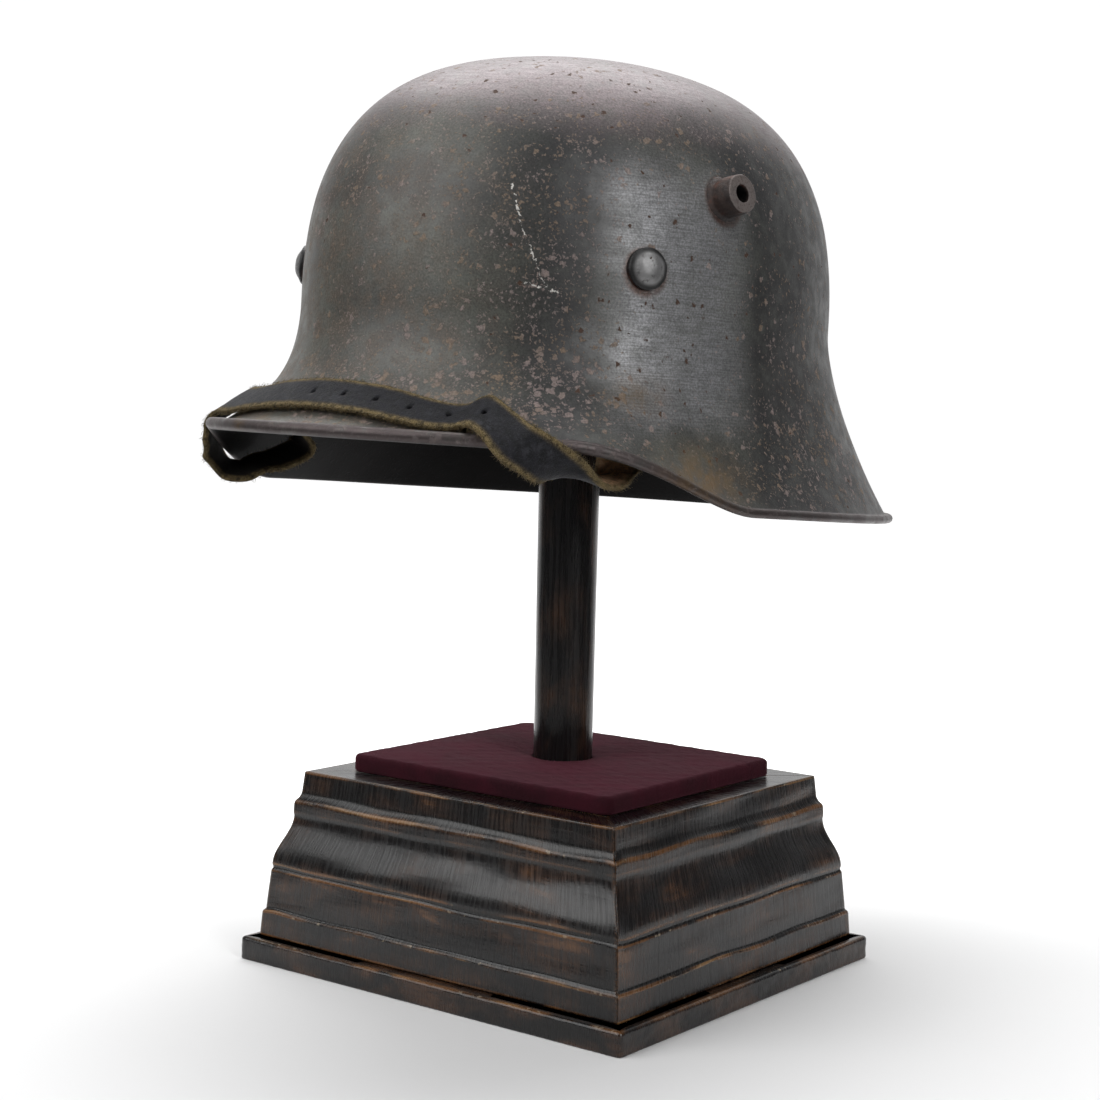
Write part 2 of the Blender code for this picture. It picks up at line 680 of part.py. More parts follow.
def moulding_profile():
    """Outer side of the moulding from the top edge down, as (out, height)."""
    start = MOULDING_TOP[-1]
    points = [(row["down"], row["out"]) for row in MOULDING_TOP]
    for i in range(1, OGEE_STEPS + 1):
        t = i / OGEE_STEPS
        down = start["down"] + (OGEE_END["down"] - start["down"]) * t
        out = start["out"] + (OGEE_END["out"] - start["out"]) * (1.0 - np.cos(np.pi * t)) / 2.0
        points.append((down, out))
    points += [(row["down"], row["out"]) for row in MOULDING_FOOT]
    return [(out * MOULDING_FLARE, TOP_LEVEL - down * MOULDING_HEIGHT) for down, out in points]


def make_moulding(name, length, reach, turn, parts, surface):
    """Mitred length whose back faces the middle, reach from it to the top edge."""
    profile = moulding_profile()
    profile += [(-MOULDING_STOCK, MOULDING_BASE), (-MOULDING_STOCK, TOP_LEVEL)]
    rings = []
    for side in (-1.0, 1.0):
        ring = []
        for out, height in profile:
            half = length / 2.0 + out - GAP / 2.0
            ring.append((side * half, -reach - out, height))
        rings.append(ring)
    moulding = add_object(name, loft(name, rings), parts, surface)
    moulding.rotation_euler = (0.0, 0.0, np.radians(turn))
    return moulding


def make_stand(parts, cutters, surfaces, seat):
    wood = surfaces["wood"]
    rounded_block(
        "plinth_board", PLINTH_WIDTH, PLINTH_DEPTH, 0.0, PLINTH_HEIGHT, 0.0, PLINTH_EDGE,
        parts, wood)
    for name, length, reach, turn in (
            ("moulding_front", TOP_WIDTH, TOP_DEPTH / 2.0, 0.0),
            ("moulding_left", TOP_DEPTH, TOP_WIDTH / 2.0, 90.0),
            ("moulding_rear", TOP_WIDTH, TOP_DEPTH / 2.0, 180.0),
            ("moulding_right", TOP_DEPTH, TOP_WIDTH / 2.0, 270.0)):
        make_moulding(name, length, reach, turn, parts, wood)
    inside = 2.0 * (MOULDING_STOCK + GAP)
    deck = rounded_block(
        "deck", TOP_WIDTH - inside, TOP_DEPTH - inside, TOP_LEVEL - DECK_THICKNESS, TOP_LEVEL,
        0.0, GAP, parts, wood)
    pad = rounded_block(
        "velvet_pad", TOP_WIDTH - 2.0 * PAD_INSET, TOP_DEPTH - 2.0 * PAD_INSET, PAD_BASE,
        PAD_TOP, PAD_CORNER, PAD_EDGE, parts, surfaces["velvet"])
    socket = cylinder(
        "post_socket", POST_BOTTOM_RADIUS + GAP, POST_FOOT - GAP, PAD_TOP + PAD_THICKNESS,
        cutters)
    boolean(deck, socket)
    boolean(pad, socket)
    turned(
        "post", [(0.0, POST_TOP), (POST_TOP_RADIUS, POST_TOP), (POST_BOTTOM_RADIUS, PAD_TOP),
                 (POST_BOTTOM_RADIUS, POST_FOOT), (0.0, POST_FOOT)], parts, wood)
    crown = make_bowl_solid("crown_core", -SHEET - GAP, INNER_ROWS + 2, cutters, seat)
    above = HEAD_BASE + 2.0 * HEAD_DEPTH
    head = turned(
        "post_head", [(0.0, above), (HEAD_RADIUS, above), (HEAD_RADIUS, HEAD_BASE),
                      (0.0, HEAD_BASE)], parts, wood, HEAD_SIDES)
    boolean(head, crown, "INTERSECT")
    top_socket = cylinder(
        "head_socket", POST_TOP_RADIUS + GAP, HEAD_BASE - HEAD_SOCKET, POST_TOP + GAP, cutters)
    boolean(head, top_socket)


def main():
    for old in list(bpy.data.objects):
        bpy.data.objects.remove(old, do_unlink=True)
    parts = bpy.data.collections.new("helmet_on_stand")
    cutters = bpy.data.collections.new("cutters")
    for collection in (parts, cutters):
        bpy.context.scene.collection.children.link(collection)
    surfaces = {
        "steel": material("worn_painted_steel", (0.055, 0.055, 0.05), 0.45, 0.5),
        "lug_steel": material("rusty_steel", (0.07, 0.045, 0.035), 0.6, 0.3),
        "rivet_steel": material("rivet_steel", (0.09, 0.09, 0.09), 0.4, 0.6),
        "leather": material("strap_leather", (0.03, 0.033, 0.04), 0.75),
        "wood": material("stained_wood", (0.03, 0.018, 0.012), 0.4),
        "velvet": material("burgundy_velvet", (0.07, 0.008, 0.018), 0.95),
    }
    seat = bpy.data.objects.new("helmet_seat", None)
    parts.objects.link(seat)
    seat.location = (SEAT_X, SEAT_Y, SEAT_Z)
    seat.rotation_mode = "YXZ"
    seat.rotation_euler = tuple(np.radians((HELMET_PITCH, HELMET_ROLL, HELMET_YAW)))

    shell = make_shell(parts, surfaces["steel"], seat)
    seat_core = make_bowl_solid("seat_core", GAP, 2 * OUTER_ROWS, cutters, seat)
    for name, side in (("vent_lug_left", 1.0), ("vent_lug_right", -1.0)):
        make_lug(name, side, parts, cutters, surfaces["lug_steel"], seat, shell, seat_core)
    strap_depth = SHEET + STRAP_GAP + STRAP_THICKNESS + GAP
    strap_rivet_holes = []
    for name, side in (("liner_rivet_left", 1.0), ("liner_rivet_right", -1.0)):
        strap_rivet_holes.append(make_rivet(
            name, side * RIVET_TURN, RIVET_HEIGHT, strap_depth, parts, cutters,
            surfaces["rivet_steel"], seat, shell))
    make_rivet(
        "liner_rivet_rear", 180.0, REAR_RIVET_HEIGHT, SHEET + GAP, parts, cutters,
        surfaces["rivet_steel"], seat, shell)
    make_strap(parts, cutters, surfaces["leather"], seat, strap_rivet_holes)
    make_stand(parts, cutters, surfaces, seat)


main()
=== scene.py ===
# Worn steel helmet on its wooden display stand: the looks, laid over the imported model.
# The helmet's pieces are worked out in millimetres, upright round their own axis, with height
# zero at the back of the rim, and seatHelmet carries them to the stand. Stand pieces are in metres.

import bpy
import numpy as np
from mathutils import Euler, Matrix, Vector


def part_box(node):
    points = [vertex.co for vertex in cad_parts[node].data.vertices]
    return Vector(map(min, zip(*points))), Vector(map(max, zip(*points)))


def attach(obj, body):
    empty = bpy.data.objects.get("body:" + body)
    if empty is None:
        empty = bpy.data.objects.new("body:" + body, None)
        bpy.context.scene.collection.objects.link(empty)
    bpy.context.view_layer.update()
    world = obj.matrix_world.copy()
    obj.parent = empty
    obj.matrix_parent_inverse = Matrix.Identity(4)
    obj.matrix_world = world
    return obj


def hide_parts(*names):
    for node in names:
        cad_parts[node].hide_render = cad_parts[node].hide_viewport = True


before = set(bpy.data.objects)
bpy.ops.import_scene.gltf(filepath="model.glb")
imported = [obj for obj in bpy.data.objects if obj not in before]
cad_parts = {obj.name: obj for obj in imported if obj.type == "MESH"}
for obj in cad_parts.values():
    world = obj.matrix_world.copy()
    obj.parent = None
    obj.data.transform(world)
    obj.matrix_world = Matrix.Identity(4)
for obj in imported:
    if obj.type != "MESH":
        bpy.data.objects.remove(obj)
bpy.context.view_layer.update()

mm = 0.001
world = bpy.context.scene.world or bpy.data.worlds.new("studio")
bpy.context.scene.world = world


# Small tools for shapes

def smooth(t):
    # S-shaped curve from 0 to 1, level at both ends
    return t * t * (3.0 - 2.0 * t)


def ease(value, low, high):
    # 0 below low, 1 above high, eased between
    return smooth(np.clip((value - low) / (high - low), 0.0, 1.0))


def bump(value, middle, spread):
    # bell curve of height 1
    return np.exp(-((value - middle) / spread) ** 2)


def wander(across, along, seed, waves=7):
    # sum of sine waves with fixed random directions and phases, between about -1 and 1
    draw = np.random.default_rng(seed)
    total = 0.0
    for _ in range(waves):
        fx, fy = draw.normal(0.0, 1.0, 2)
        total = total + np.sin(2.0 * np.pi * (fx * across + fy * along) + draw.uniform(0.0, 6.28))
    return total / np.sqrt(2.0 * waves)


def unit(vectors):
    return vectors / np.maximum(np.linalg.norm(vectors, axis=-1, keepdims=True), 1e-12)


def cubicThrough(knots, values, places):
    # smooth curve through values at knots, each slope taken from its two neighbours
    steps = np.diff(knots)[:, None]
    secants = np.diff(values, axis=0) / steps
    slopes = np.empty_like(values)
    slopes[1:-1] = ((secants[:-1] * steps[1:] + secants[1:] * steps[:-1])
                    / (steps[1:] + steps[:-1]))
    slopes[0] = secants[0]
    slopes[-1] = secants[-1]
    row = np.clip(np.searchsorted(knots, places, side="right") - 1, 0, len(knots) - 2)
    h = steps[row]
    t = (places - knots[row])[:, None] / h
    return (values[row] * (1.0 + 2.0 * t) * (1.0 - t) ** 2 + values[row + 1] * t * t * (3.0 - 2.0 * t)
            + slopes[row] * h * t * (1.0 - t) ** 2 + slopes[row + 1] * h * t * t * (t - 1.0))


def runLength(points):
    # distance along a line of points, from 0 at its first
    steps = np.linalg.norm(np.diff(points, axis=0), axis=1)
    return np.concatenate([[0.0], np.cumsum(steps)])


def lineAt(places, run, points):
    # points of a line at distances along it
    return np.stack([np.interp(places, run, points[:, k]) for k in range(points.shape[1])], -1)


def softened(line, reach, spacing, soft):
    # line averaged over a bell of its neighbours, which takes reach points off each end
    kernel = np.exp(-(np.arange(-reach, reach + 1) * spacing / soft) ** 2)
    kernel /= kernel.sum()
    return np.stack([np.convolve(line[:, k], kernel, "valid") for k in range(2)], -1)


def together(*parts):
    # rows, columns and whole grids of numbers joined as one grid of vectors
    return np.stack(np.broadcast_arrays(*parts), -1)


def boxOf(node):
    return [np.array(corner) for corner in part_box(node)]


# Small tools for meshes

def meshFromFaces(name, points, groups, uvGroups=None, values=None):
    # groups holds one array of faces for each count of corners, uvGroups the same for the UV map
    first = np.concatenate([g[:, [0, k, k + 1]] for g in groups for k in range(1, g.shape[1] - 1)])
    a, b, c = (points[first[:, k]] for k in range(3))
    if np.sum(a * np.cross(b, c)) < 0.0:        # inside out, so every face is turned over
        groups = [g[:, ::-1] for g in groups]
        uvGroups = [g[:, ::-1] for g in uvGroups] if uvGroups else None
    corners = np.concatenate([g.ravel() for g in groups])
    sizes = np.concatenate([np.full(len(g), g.shape[1]) for g in groups])
    mesh = bpy.data.meshes.new(name)
    mesh.vertices.add(len(points))
    mesh.vertices.foreach_set("co", points.astype(np.float32).ravel())
    mesh.loops.add(len(corners))
    mesh.loops.foreach_set("vertex_index", corners.astype(np.int32))
    mesh.polygons.add(len(sizes))
    mesh.polygons.foreach_set("loop_start", (np.cumsum(sizes) - sizes).astype(np.int32))
    mesh.update(calc_edges=True)
    if uvGroups:
        layer = mesh.uv_layers.new(name="surface")
        flat = np.concatenate([g.reshape(-1, 2) for g in uvGroups])
        layer.uv.foreach_set("vector", flat.astype(np.float32).ravel())
    for key, value in (values or {}).items():
        made = mesh.attributes.new(key, "FLOAT", "POINT")
        made.data.foreach_set("value", value.astype(np.float32).ravel())
    mesh.shade_smooth()
    return mesh


def gridMesh(name, points, uv, values=None, ends="poles"):
    # points is rows by columns, and each row closes on itself. ends says how the first and last
    # rows close: poles with a middle point, caps with one flat face, ring by meeting each other.
    # uv has one column more than points, so that the map doesn't fold back at the join
    rows, columns = points.shape[:2]
    corner = np.arange(rows * (columns + 1)).reshape(rows, columns + 1)
    vertex = np.arange(rows)[:, None] * columns + np.arange(columns + 1)[None, :] % columns
    if ends == "ring":
        corner = np.vstack([corner, corner[:1] + rows * (columns + 1)])
        vertex = np.vstack([vertex, vertex[:1]])
        uv = np.vstack([uv, uv[:1] + (uv[-1:] - uv[-2:-1]) * 0.5 + uv[-1:] - uv[:1]])

    def quads(index):
        return np.stack([index[:-1, :-1], index[:-1, 1:], index[1:, 1:], index[1:, :-1]],
                        axis=-1).reshape(-1, 4)

    flat = points.reshape(-1, 3)
    flatUv = uv.reshape(-1, 2)
    groups = [quads(vertex)]
    uvGroups = [flatUv[quads(corner)]]
    values = {key: np.broadcast_to(value, (rows, columns)).ravel()
              for key, value in (values or {}).items()}
    for row, turnOver in ((0, True), (rows - 1, False)) if ends != "ring" else ():
        ring = vertex[row, :-1]
        if ends == "caps":
            face = ring[::-1] if turnOver else ring
            groups.append(face[None, :])
            uvGroups.append(uv[row, :-1][::-1][None] if turnOver else uv[row, :-1][None])
            continue
        flat = np.vstack([flat, points[row].mean(axis=0)])
        values = {key: np.append(value, value[ring].mean()) for key, value in values.items()}
        tip = np.full(columns, len(flat) - 1)
        sides = (vertex[row, 1:], ring) if turnOver else (ring, vertex[row, 1:])
        groups.append(np.stack([sides[0], sides[1], tip], axis=-1))
        uvSides = (uv[row, 1:], uv[row, :-1]) if turnOver else (uv[row, :-1], uv[row, 1:])
        uvGroups.append(np.stack([*uvSides, (uvSides[0] + uvSides[1]) / 2.0], axis=1))
    return meshFromFaces(name, flat, groups, uvGroups, values)


def addPiece(mesh, finish, nodes=()):
    # puts a mesh in the scene on the model's body, in place of the nodes named
    piece = bpy.data.objects.new(mesh.name, mesh)
    bpy.context.scene.collection.objects.link(piece)
    mesh.materials.append(finish)
    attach(piece, "root")
    if nodes:
        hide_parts(*nodes)
    return piece


def cutAway(piece, cutterMesh):
    # takes the cutter's shape out of the piece for good
    cutter = bpy.data.objects.new("cutter", cutterMesh)
    bpy.context.scene.collection.objects.link(cutter)
    cut = piece.modifiers.new("cut", "BOOLEAN")
    cut.object = cutter
    cut.solver = "EXACT"
    bpy.context.view_layer.update()
    seen = piece.evaluated_get(bpy.context.evaluated_depsgraph_get())
    mesh = bpy.data.meshes.new_from_object(seen)
    mesh.name = piece.name
    piece.modifiers.clear()
    piece.data = mesh
    bpy.data.objects.remove(cutter)


def rods(name, starts, ends, radius, sides):
    # straight closed rods of one radius, as one mesh
    turn = np.linspace(0.0, 2.0 * np.pi, sides, endpoint=False)
    axis = unit(ends - starts)
    across = unit(np.cross(axis, np.where(np.abs(axis[:, 2:]) > 0.8, [[1.0, 0, 0]], [[0, 0, 1.0]])))
    other = np.cross(axis, across)
    circle = (across[:, None] * np.cos(turn)[:, None] + other[:, None] * np.sin(turn)[:, None]) * radius
    points = np.stack([starts[:, None] + circle, ends[:, None] + circle], axis=1)
    ring = np.arange(sides)
    base = np.arange(len(starts))[:, None] * 2 * sides
    side = np.stack([ring, (ring + 1) % sides, (ring + 1) % sides + sides, ring + sides], axis=-1)
    walls = (base[:, :, None] + side[None]).reshape(-1, 4)
    lids = np.concatenate([base + ring[::-1], base + sides + ring])
    return meshFromFaces(name, points.reshape(-1, 3), [walls, lids])


# Small tools for finishes

class Nodes:
    # a node tree, one call for each node. A value is a number, a colour or a socket
    def __init__(self, tree):
        self.tree = tree

    def put(self, socket, value):
        if isinstance(value, bpy.types.NodeSocket):
            self.tree.links.new(value, socket)
        elif socket.type == "RGBA" and len(value) == 3:
            socket.default_value = (*value, 1.0)
        else:
            socket.default_value = value

    def add(self, kind, output, inputs, **settings):
        made = self.tree.nodes.new("ShaderNode" + kind)
        for key, value in settings.items():
            setattr(made, key, value)
        for key, value in inputs.items():
            self.put(made.inputs[key], value)
        return made.outputs[output]

    def value(self, name):
        return self.add("Attribute", "Fac", {}, attribute_name=name)

    def math(self, operation, a, b=0.0):
        return self.add("Math", 0, {0: a, 1: b}, operation=operation)

    def times(self, a, *others):
        for b in others:
            a = self.math("MULTIPLY", a, b)
        return a

    def plus(self, a, *others):
        for b in others:
            a = self.math("ADD", a, b)
        return a

    def less(self, a, b):
        return self.math("SUBTRACT", a, b)

    def most(self, a, *others):
        for b in others:
            a = self.math("MAXIMUM", a, b)
        return a

    def scaled(self, vector, share):
        return self.add("VectorMath", "Vector", {0: vector, "Scale": share}, operation="SCALE")

    def dot(self, vector, fixed):
        return self.add("VectorMath", "Value", {0: vector, 1: tuple(fixed)}, operation="DOT_PRODUCT")

    def span(self, value, low, high, start=0.0, end=1.0):
        inputs = {"Value": value, "From Min": low, "From Max": high, "To Min": start, "To Max": end}
        return self.add("MapRange", "Result", inputs, interpolation_type="SMOOTHSTEP")

    def stretch(self, vector, x, y):
        return self.add("Mapping", "Vector", {"Vector": vector, "Scale": (x, y, 1.0)})

    def noise(self, vector, scale, detail=3.0, rough=0.55, twist=0.0):
        inputs = {"Vector": vector, "Scale": scale, "Detail": detail, "Roughness": rough,
                  "Distortion": twist}
        return self.add("TexNoise", "Fac", inputs)

    def mix(self, share, a, b):
        made = self.tree.nodes.new("ShaderNodeMix")
        made.data_type = "RGBA"
        for place, value in ((0, share), (6, a), (7, b)):
            self.put(made.inputs[place], value)
        return made.outputs[2]

    def blend(self, share, a, b):
        made = self.tree.nodes.new("ShaderNodeMix")
        for place, value in ((0, share), (2, a), (3, b)):
            self.put(made.inputs[place], value)
        return made.outputs[0]

    def spots(self, vector, scale, density, small, large, soft=0.06):
        # round marks at random points: each cell has one where its random number is below density
        cell = self.tree.nodes.new("ShaderNodeTexVoronoi")
        self.put(cell.inputs["Vector"], vector)
        cell.inputs["Scale"].default_value = scale
        draw = self.tree.nodes.new("ShaderNodeSeparateColor")
        self.put(draw.inputs[0], cell.outputs["Color"])
        there = self.math("LESS_THAN", draw.outputs[0], density)
        radius = self.span(draw.outputs[1], 0.0, 1.0, small, large)
        depth = self.less(radius, cell.outputs["Distance"])
        return self.times(self.span(depth, 0.0, soft), there)

    def relief(self, height, distance, strength):
        inputs = {"Height": height, "Distance": distance, "Strength": strength}
        return self.add("Bump", "Normal", inputs)


class Finish(Nodes):
    # one material, with the piece's own place and UV map at hand
    def __init__(self, name, **sockets):
        self.material = bpy.data.materials.new(name)
        self.material.use_nodes = True
        super().__init__(self.material.node_tree)
        self.shader = self.tree.nodes["Principled BSDF"]
        self.set(**sockets)
        self.place = self.add("TexCoord", "Object", {})
        self.uv = self.add("TexCoord", "UV", {})

    def set(self, **sockets):
        for key, value in sockets.items():
            self.put(self.shader.inputs[key.replace("_", " ")], value)

    def near(self, point, low, high):
        # 1 within low of a point, 0 beyond high
        gap = self.add("VectorMath", "Value", {0: self.place, 1: tuple(point)}, operation="DISTANCE")
        return self.span(gap, low, high, 1.0, 0.0)


# Camera

view = {"azimuth": 37.34, "elevation": 2.16, "roll": 1.37, "distance": 0.83237,
        "target": (0.0, 0.0, 0.2), "lens": 68.83, "shift": (-0.018, -0.0841)}

turn, rise = np.radians(view["azimuth"]), np.radians(view["elevation"])
back = Vector((np.sin(turn) * np.cos(rise), -np.cos(turn) * np.cos(rise), np.sin(rise)))
right = Vector((np.cos(turn), np.sin(turn), 0.0))
base = Matrix((right, back.cross(right), back)).transposed()
cameraData = bpy.data.cameras.new("camera")
cameraData.lens = view["lens"]
cameraData.sensor_width = 36.0
cameraData.shift_x, cameraData.shift_y = view["shift"]
camera = bpy.data.objects.new("camera", cameraData)
bpy.context.scene.collection.objects.link(camera)
camera.location = Vector(view["target"]) + back * view["distance"]
camera.rotation_euler = (base @ Matrix.Rotation(np.radians(view["roll"]), 3, "Z")).to_euler()
bpy.context.scene.camera = camera
bpy.context.scene.view_settings.view_transform = "Standard"
print("camera placed")


# Helmet's shape, as functions of the turn round its axis from the visor's middle

shellShape = {
    "bandHalfWidth": 93.5, "bandHalfLength": 116.0, "bandHeight": 73.0, "planPower": 2.16,
    "crownRise": 99.9, "sidePower": 2.85, "topPower": 2.62, "sheet": 1.2,
    "rimHalfWidth": 117.5, "rimFront": 152.1, "rimRear": 154.9, "rimPower": 2.15,
    "waist": 2.3, "waistTurn": 66.0, "waistSpread": 20.0,
    "visorHeight": 27.0, "visorFall": 2.5, "skirtFall": 8.9, "stepStart": 33.7, "stepEnd": 67.1,
    "rollVisor": 2.25, "rollSkirt": 1.75, "rollReach": 0.915,
    "wander": 0.14,                                  # how far the pressed sheet is off true
    "meridians": 360, "crownRows": 86, "wallRows": 58, "rollRows": 13, "insideRows": 46,
}
wallTable = np.array([          # turn, lean outward for each unit of height, power of the flare
    (0.0, 0.11, 3.1), (60.0, 0.15, 3.1), (120.0, 0.06, 1.5), (180.0, 0.10, 2.2)])
s = shellShape
seat = {"x": -1.1, "y": -2.8, "headDepth": 34.4, "pitch": -1.5, "roll": 1.0, "yaw": 4.4}

seatHeight = (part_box("post_head")[0][2] / mm + seat["headDepth"] + s["sheet"]
              - s["bandHeight"] - s["crownRise"])
seatTurn = np.array(Euler(np.radians((seat["pitch"], seat["roll"], seat["yaw"])), "YXZ").to_matrix())
seatPlace = np.array([seat["x"], seat["y"], seatHeight])


def seatHelmet(points):
    # millimetres in the helmet's own frame to metres on the stand
    return (points @ seatTurn.T + seatPlace) * mm


def oval(turn, halfWidth, halfLength, power):
    # radius of |x / halfWidth| ^ power + |y / halfLength| ^ power = 1 at a turn
    across = np.abs(np.sin(np.radians(turn))) / halfWidth
    along = np.abs(np.cos(np.radians(turn))) / halfLength
    return (across ** power + along ** power) ** (-1.0 / power)


def bandRadius(turn):
    # radius where the crown ends and the wall starts
    return oval(turn, s["bandHalfWidth"], s["bandHalfLength"], s["planPower"])


def stepShare(turn):
    # 0 along the visor, 1 along the skirt, eased over the step between them
    return ease(np.abs(turn), s["stepStart"], s["stepEnd"])


def rim(turn):
    # radius is an oval less a narrow waist, height eases from the visor down to the skirt
    angle = np.radians(turn)
    length = np.where(np.cos(angle) >= 0.0, s["rimFront"], s["rimRear"])
    radius = (oval(turn, s["rimHalfWidth"], length, s["rimPower"])
              - s["waist"] * bump(np.abs(turn), s["waistTurn"], s["waistSpread"]))
    visor = s["visorHeight"] - s["visorFall"] * np.sin(np.minimum(np.abs(angle), np.pi / 2)) ** 2
    skirt = s["skirtFall"] * (1.0 + np.cos(angle)) / 2.0
    return radius, visor + (skirt - visor) * stepShare(turn)


def wallAt(turn):
    # lean and flare at a turn, eased from row to row of the table
    side = np.abs(turn)
    row = np.clip(np.searchsorted(wallTable[:, 0], side, side="right") - 1, 0, len(wallTable) - 2)
    low, high = wallTable[row], wallTable[row + 1]
    t = smooth((side - low[..., 0]) / (high[..., 0] - low[..., 0]))[..., None]
    both = low + (high - low) * t
    return both[..., 1], both[..., 2]


def meridian(turn, place):
    # place runs 0 to 1 down the crown, radius band * sin(q) ^ (2 / side power) and height
    # band + rise * cos(q) ^ (2 / top power), and on to 2 down the wall, whose radius grows by
    # lean * t ^ 1.5 and by the flare's power of t. One row for each turn
    turn = np.atleast_1d(np.asarray(turn, float))[:, None]
    place = np.atleast_1d(np.asarray(place, float))
    place = place[None, :] if place.ndim == 1 else place
    crown = np.clip(place, 0.0, 1.0)
    even = crown ** 1.4 / (crown ** 1.4 + (1.0 - crown) ** 1.3)
    q = even * np.pi / 2.0
    t = np.clip(place - 1.0, 0.0, 1.0)
    band = bandRadius(turn)
    rimRadius, rimHeight = rim(turn)
    drop = s["bandHeight"] - rimHeight
    lean, flare = wallAt(turn)
    lean = lean * drop
    radius = band * np.sin(q) ** (2.0 / s["sidePower"])
    radius = radius + lean * t ** 1.5 + (rimRadius - band - lean) * t ** flare
    height = (s["bandHeight"] + s["crownRise"] * np.clip(np.cos(q), 0.0, 1.0) ** (2.0 / s["topPower"])
              - drop * t)
    return radius, height


def polar(turn, radius, height):
    # point at a turn, distance from the axis and height
    angle = np.radians(turn)
    return together(radius * np.sin(angle), -radius * np.cos(angle), height)


finePlaces = np.linspace(0.0, 2.0, 900)


def atHeight(turn, height):
    # point of the outside at one turn and height
    radius, heights = meridian(turn, finePlaces)
    return polar(turn, np.interp(-height, -heights[0], radius[0]), height)


def upFromRim(turn, distance):
    # point of the outside at a distance up its slope from the rim
    radius, heights = meridian(turn, finePlaces)
    line = polar(turn, radius[0], heights[0])
    run = runLength(line)
    return lineAt(run[-1] - distance, run, line)


def surfaceFrame(turn, height):
    # outward and sideways directions of the outside
    around = atHeight(turn + 1.0, height) - atHeight(turn - 1.0, height)
    up = atHeight(turn, height + 1.5) - atHeight(turn, height - 1.5)
    return unit(np.cross(around, up)), unit(around)


def rimRoll(turn):
    # middle and radius of the rolled edge, with the wall's slope and outward side, in (out, up)
    radius, height = meridian(turn, [1.0 + s["rollReach"], 2.0])
    end = np.stack([radius[:, 1], height[:, 1]], -1)
    slope = unit(end - np.stack([radius[:, 0], height[:, 0]], -1))
    out = np.stack([-slope[:, 1], slope[:, 0]], -1)
    roll = s["rollVisor"] + (s["rollSkirt"] - s["rollVisor"]) * stepShare(np.atleast_1d(turn))
    return end + out * (roll[:, None] - s["sheet"]), roll, slope, out


# Shell

def shellGrid():
    # rows from the crown's top down the outside, round the rolled edge and back up inside
    turn = np.linspace(-180.0, 180.0, s["meridians"], endpoint=False)
    middle, roll, slope, out = rimRoll(turn)
    back = np.sqrt(roll ** 2 - (roll - s["sheet"]) ** 2)
    # outside rows end where the rolled edge starts, a short way back from the rim
    radius, height = meridian(turn, [1.98, 2.0])
    last = 2.0 - 0.02 * back / np.hypot(radius[:, 1] - radius[:, 0], height[:, 1] - height[:, 0])
    crown = np.linspace(0.0, 1.0, s["crownRows"] + 1)[1:]
    share = np.linspace(0.0, 1.0, s["wallRows"] + 1)[1:] ** 0.9
    places = np.concatenate(
        [np.broadcast_to(crown, (len(turn), len(crown))), 1.0 + (last[:, None] - 1.0) * share], axis=1)
    radius, height = meridian(turn, places)
    first = np.pi + np.arctan2(roll - s["sheet"], back)
    angle = first[:, None] + (-np.pi / 2.0 - first[:, None]) * np.linspace(0.0, 1.0, s["rollRows"] + 1)
    angle = angle[:, 1:]
    circle = (middle[:, None] + roll[:, None, None]
              * (slope[:, None] * np.cos(angle)[..., None] + out[:, None] * np.sin(angle)[..., None]))
    inPlaces = np.linspace(0.0, 2.0, s["insideRows"] + 2)[1:-1]
    inRadius, inHeight = meridian(turn, inPlaces)
    across = np.gradient(inRadius, axis=1)
    down = np.gradient(inHeight, axis=1)
    size = np.hypot(across, down)
    inRadius = inRadius + s["sheet"] * down / size
    inHeight = inHeight - s["sheet"] * across / size
    allRadius = np.concatenate([radius, circle[..., 0], inRadius[:, ::-1]], axis=1)
    allHeight = np.concatenate([height, circle[..., 1], inHeight[:, ::-1]], axis=1)
    outerRows, rollRows = radius.shape[1], circle.shape[1]
    row = np.arange(allRadius.shape[1])
    # the pressing wanders off true by a sum of slow waves, the same outside and inside
    turns = turn[:, None]
    wave = wander(np.sin(np.radians(turns)) * 1.4, np.cos(np.radians(turns)) * 1.4 + allHeight / 75.0, 3)
    allRadius = allRadius + s["wander"] * wave * ease(allRadius, 5.0, 40.0)
    points = polar(turns, allRadius, allHeight).transpose(1, 0, 2)
    edge = ease(row, outerRows - 3, outerRows + 1) * (1.0 - ease(row, outerRows + rollRows - 2,
                                                                   outerRows + rollRows + 2))
    inside = ease(row, outerRows + rollRows - 5, outerRows + rollRows - 1)
    return turn, allHeight.T, points, edge[:, None], inside[:, None]


# bell-shaped patches of wear, and of painted shade in dark: share, turn and its spread, height and its spread
# in millimetres
patches = {
    "spots": [(0.62, 4, 34, 44, 20), (0.45, -10, 26, 132, 28), (0.40, 80, 32, 144, 10),
              (0.50, 92, 26, 22, 24), (0.40, 24, 12, 98, 34), (0.45, -90, 40, 30, 26)],
    "dots": [(0.75, 51, 12, 62, 42), (0.50, -52, 16, 70, 40)],
    "warm": [(0.50, 96, 26, 44, 36)],
    "dark": [(0.35, -15, 24, 118, 14), (0.60, 80, 16, 14, 12)],
    "stain": [(1.00, 57, 8, 18, 9), (0.60, 46, 5, 45, 6), (0.80, -15, 1.2, 29, 3)],
    "blotch": [(0.55, -12, 30, 38, 12), (0.60, 84, 14, 146, 8), (0.50, 100, 22, 22, 16)],
}
rearPatches = {             # the same on both sides of the helmet's back
    "spots": [(0.55, 160, 40, 26, 30)], "warm": [(0.50, 165, 40, 80, 50)],
    "blotch": [(0.45, 170, 40, 30, 18)],
}


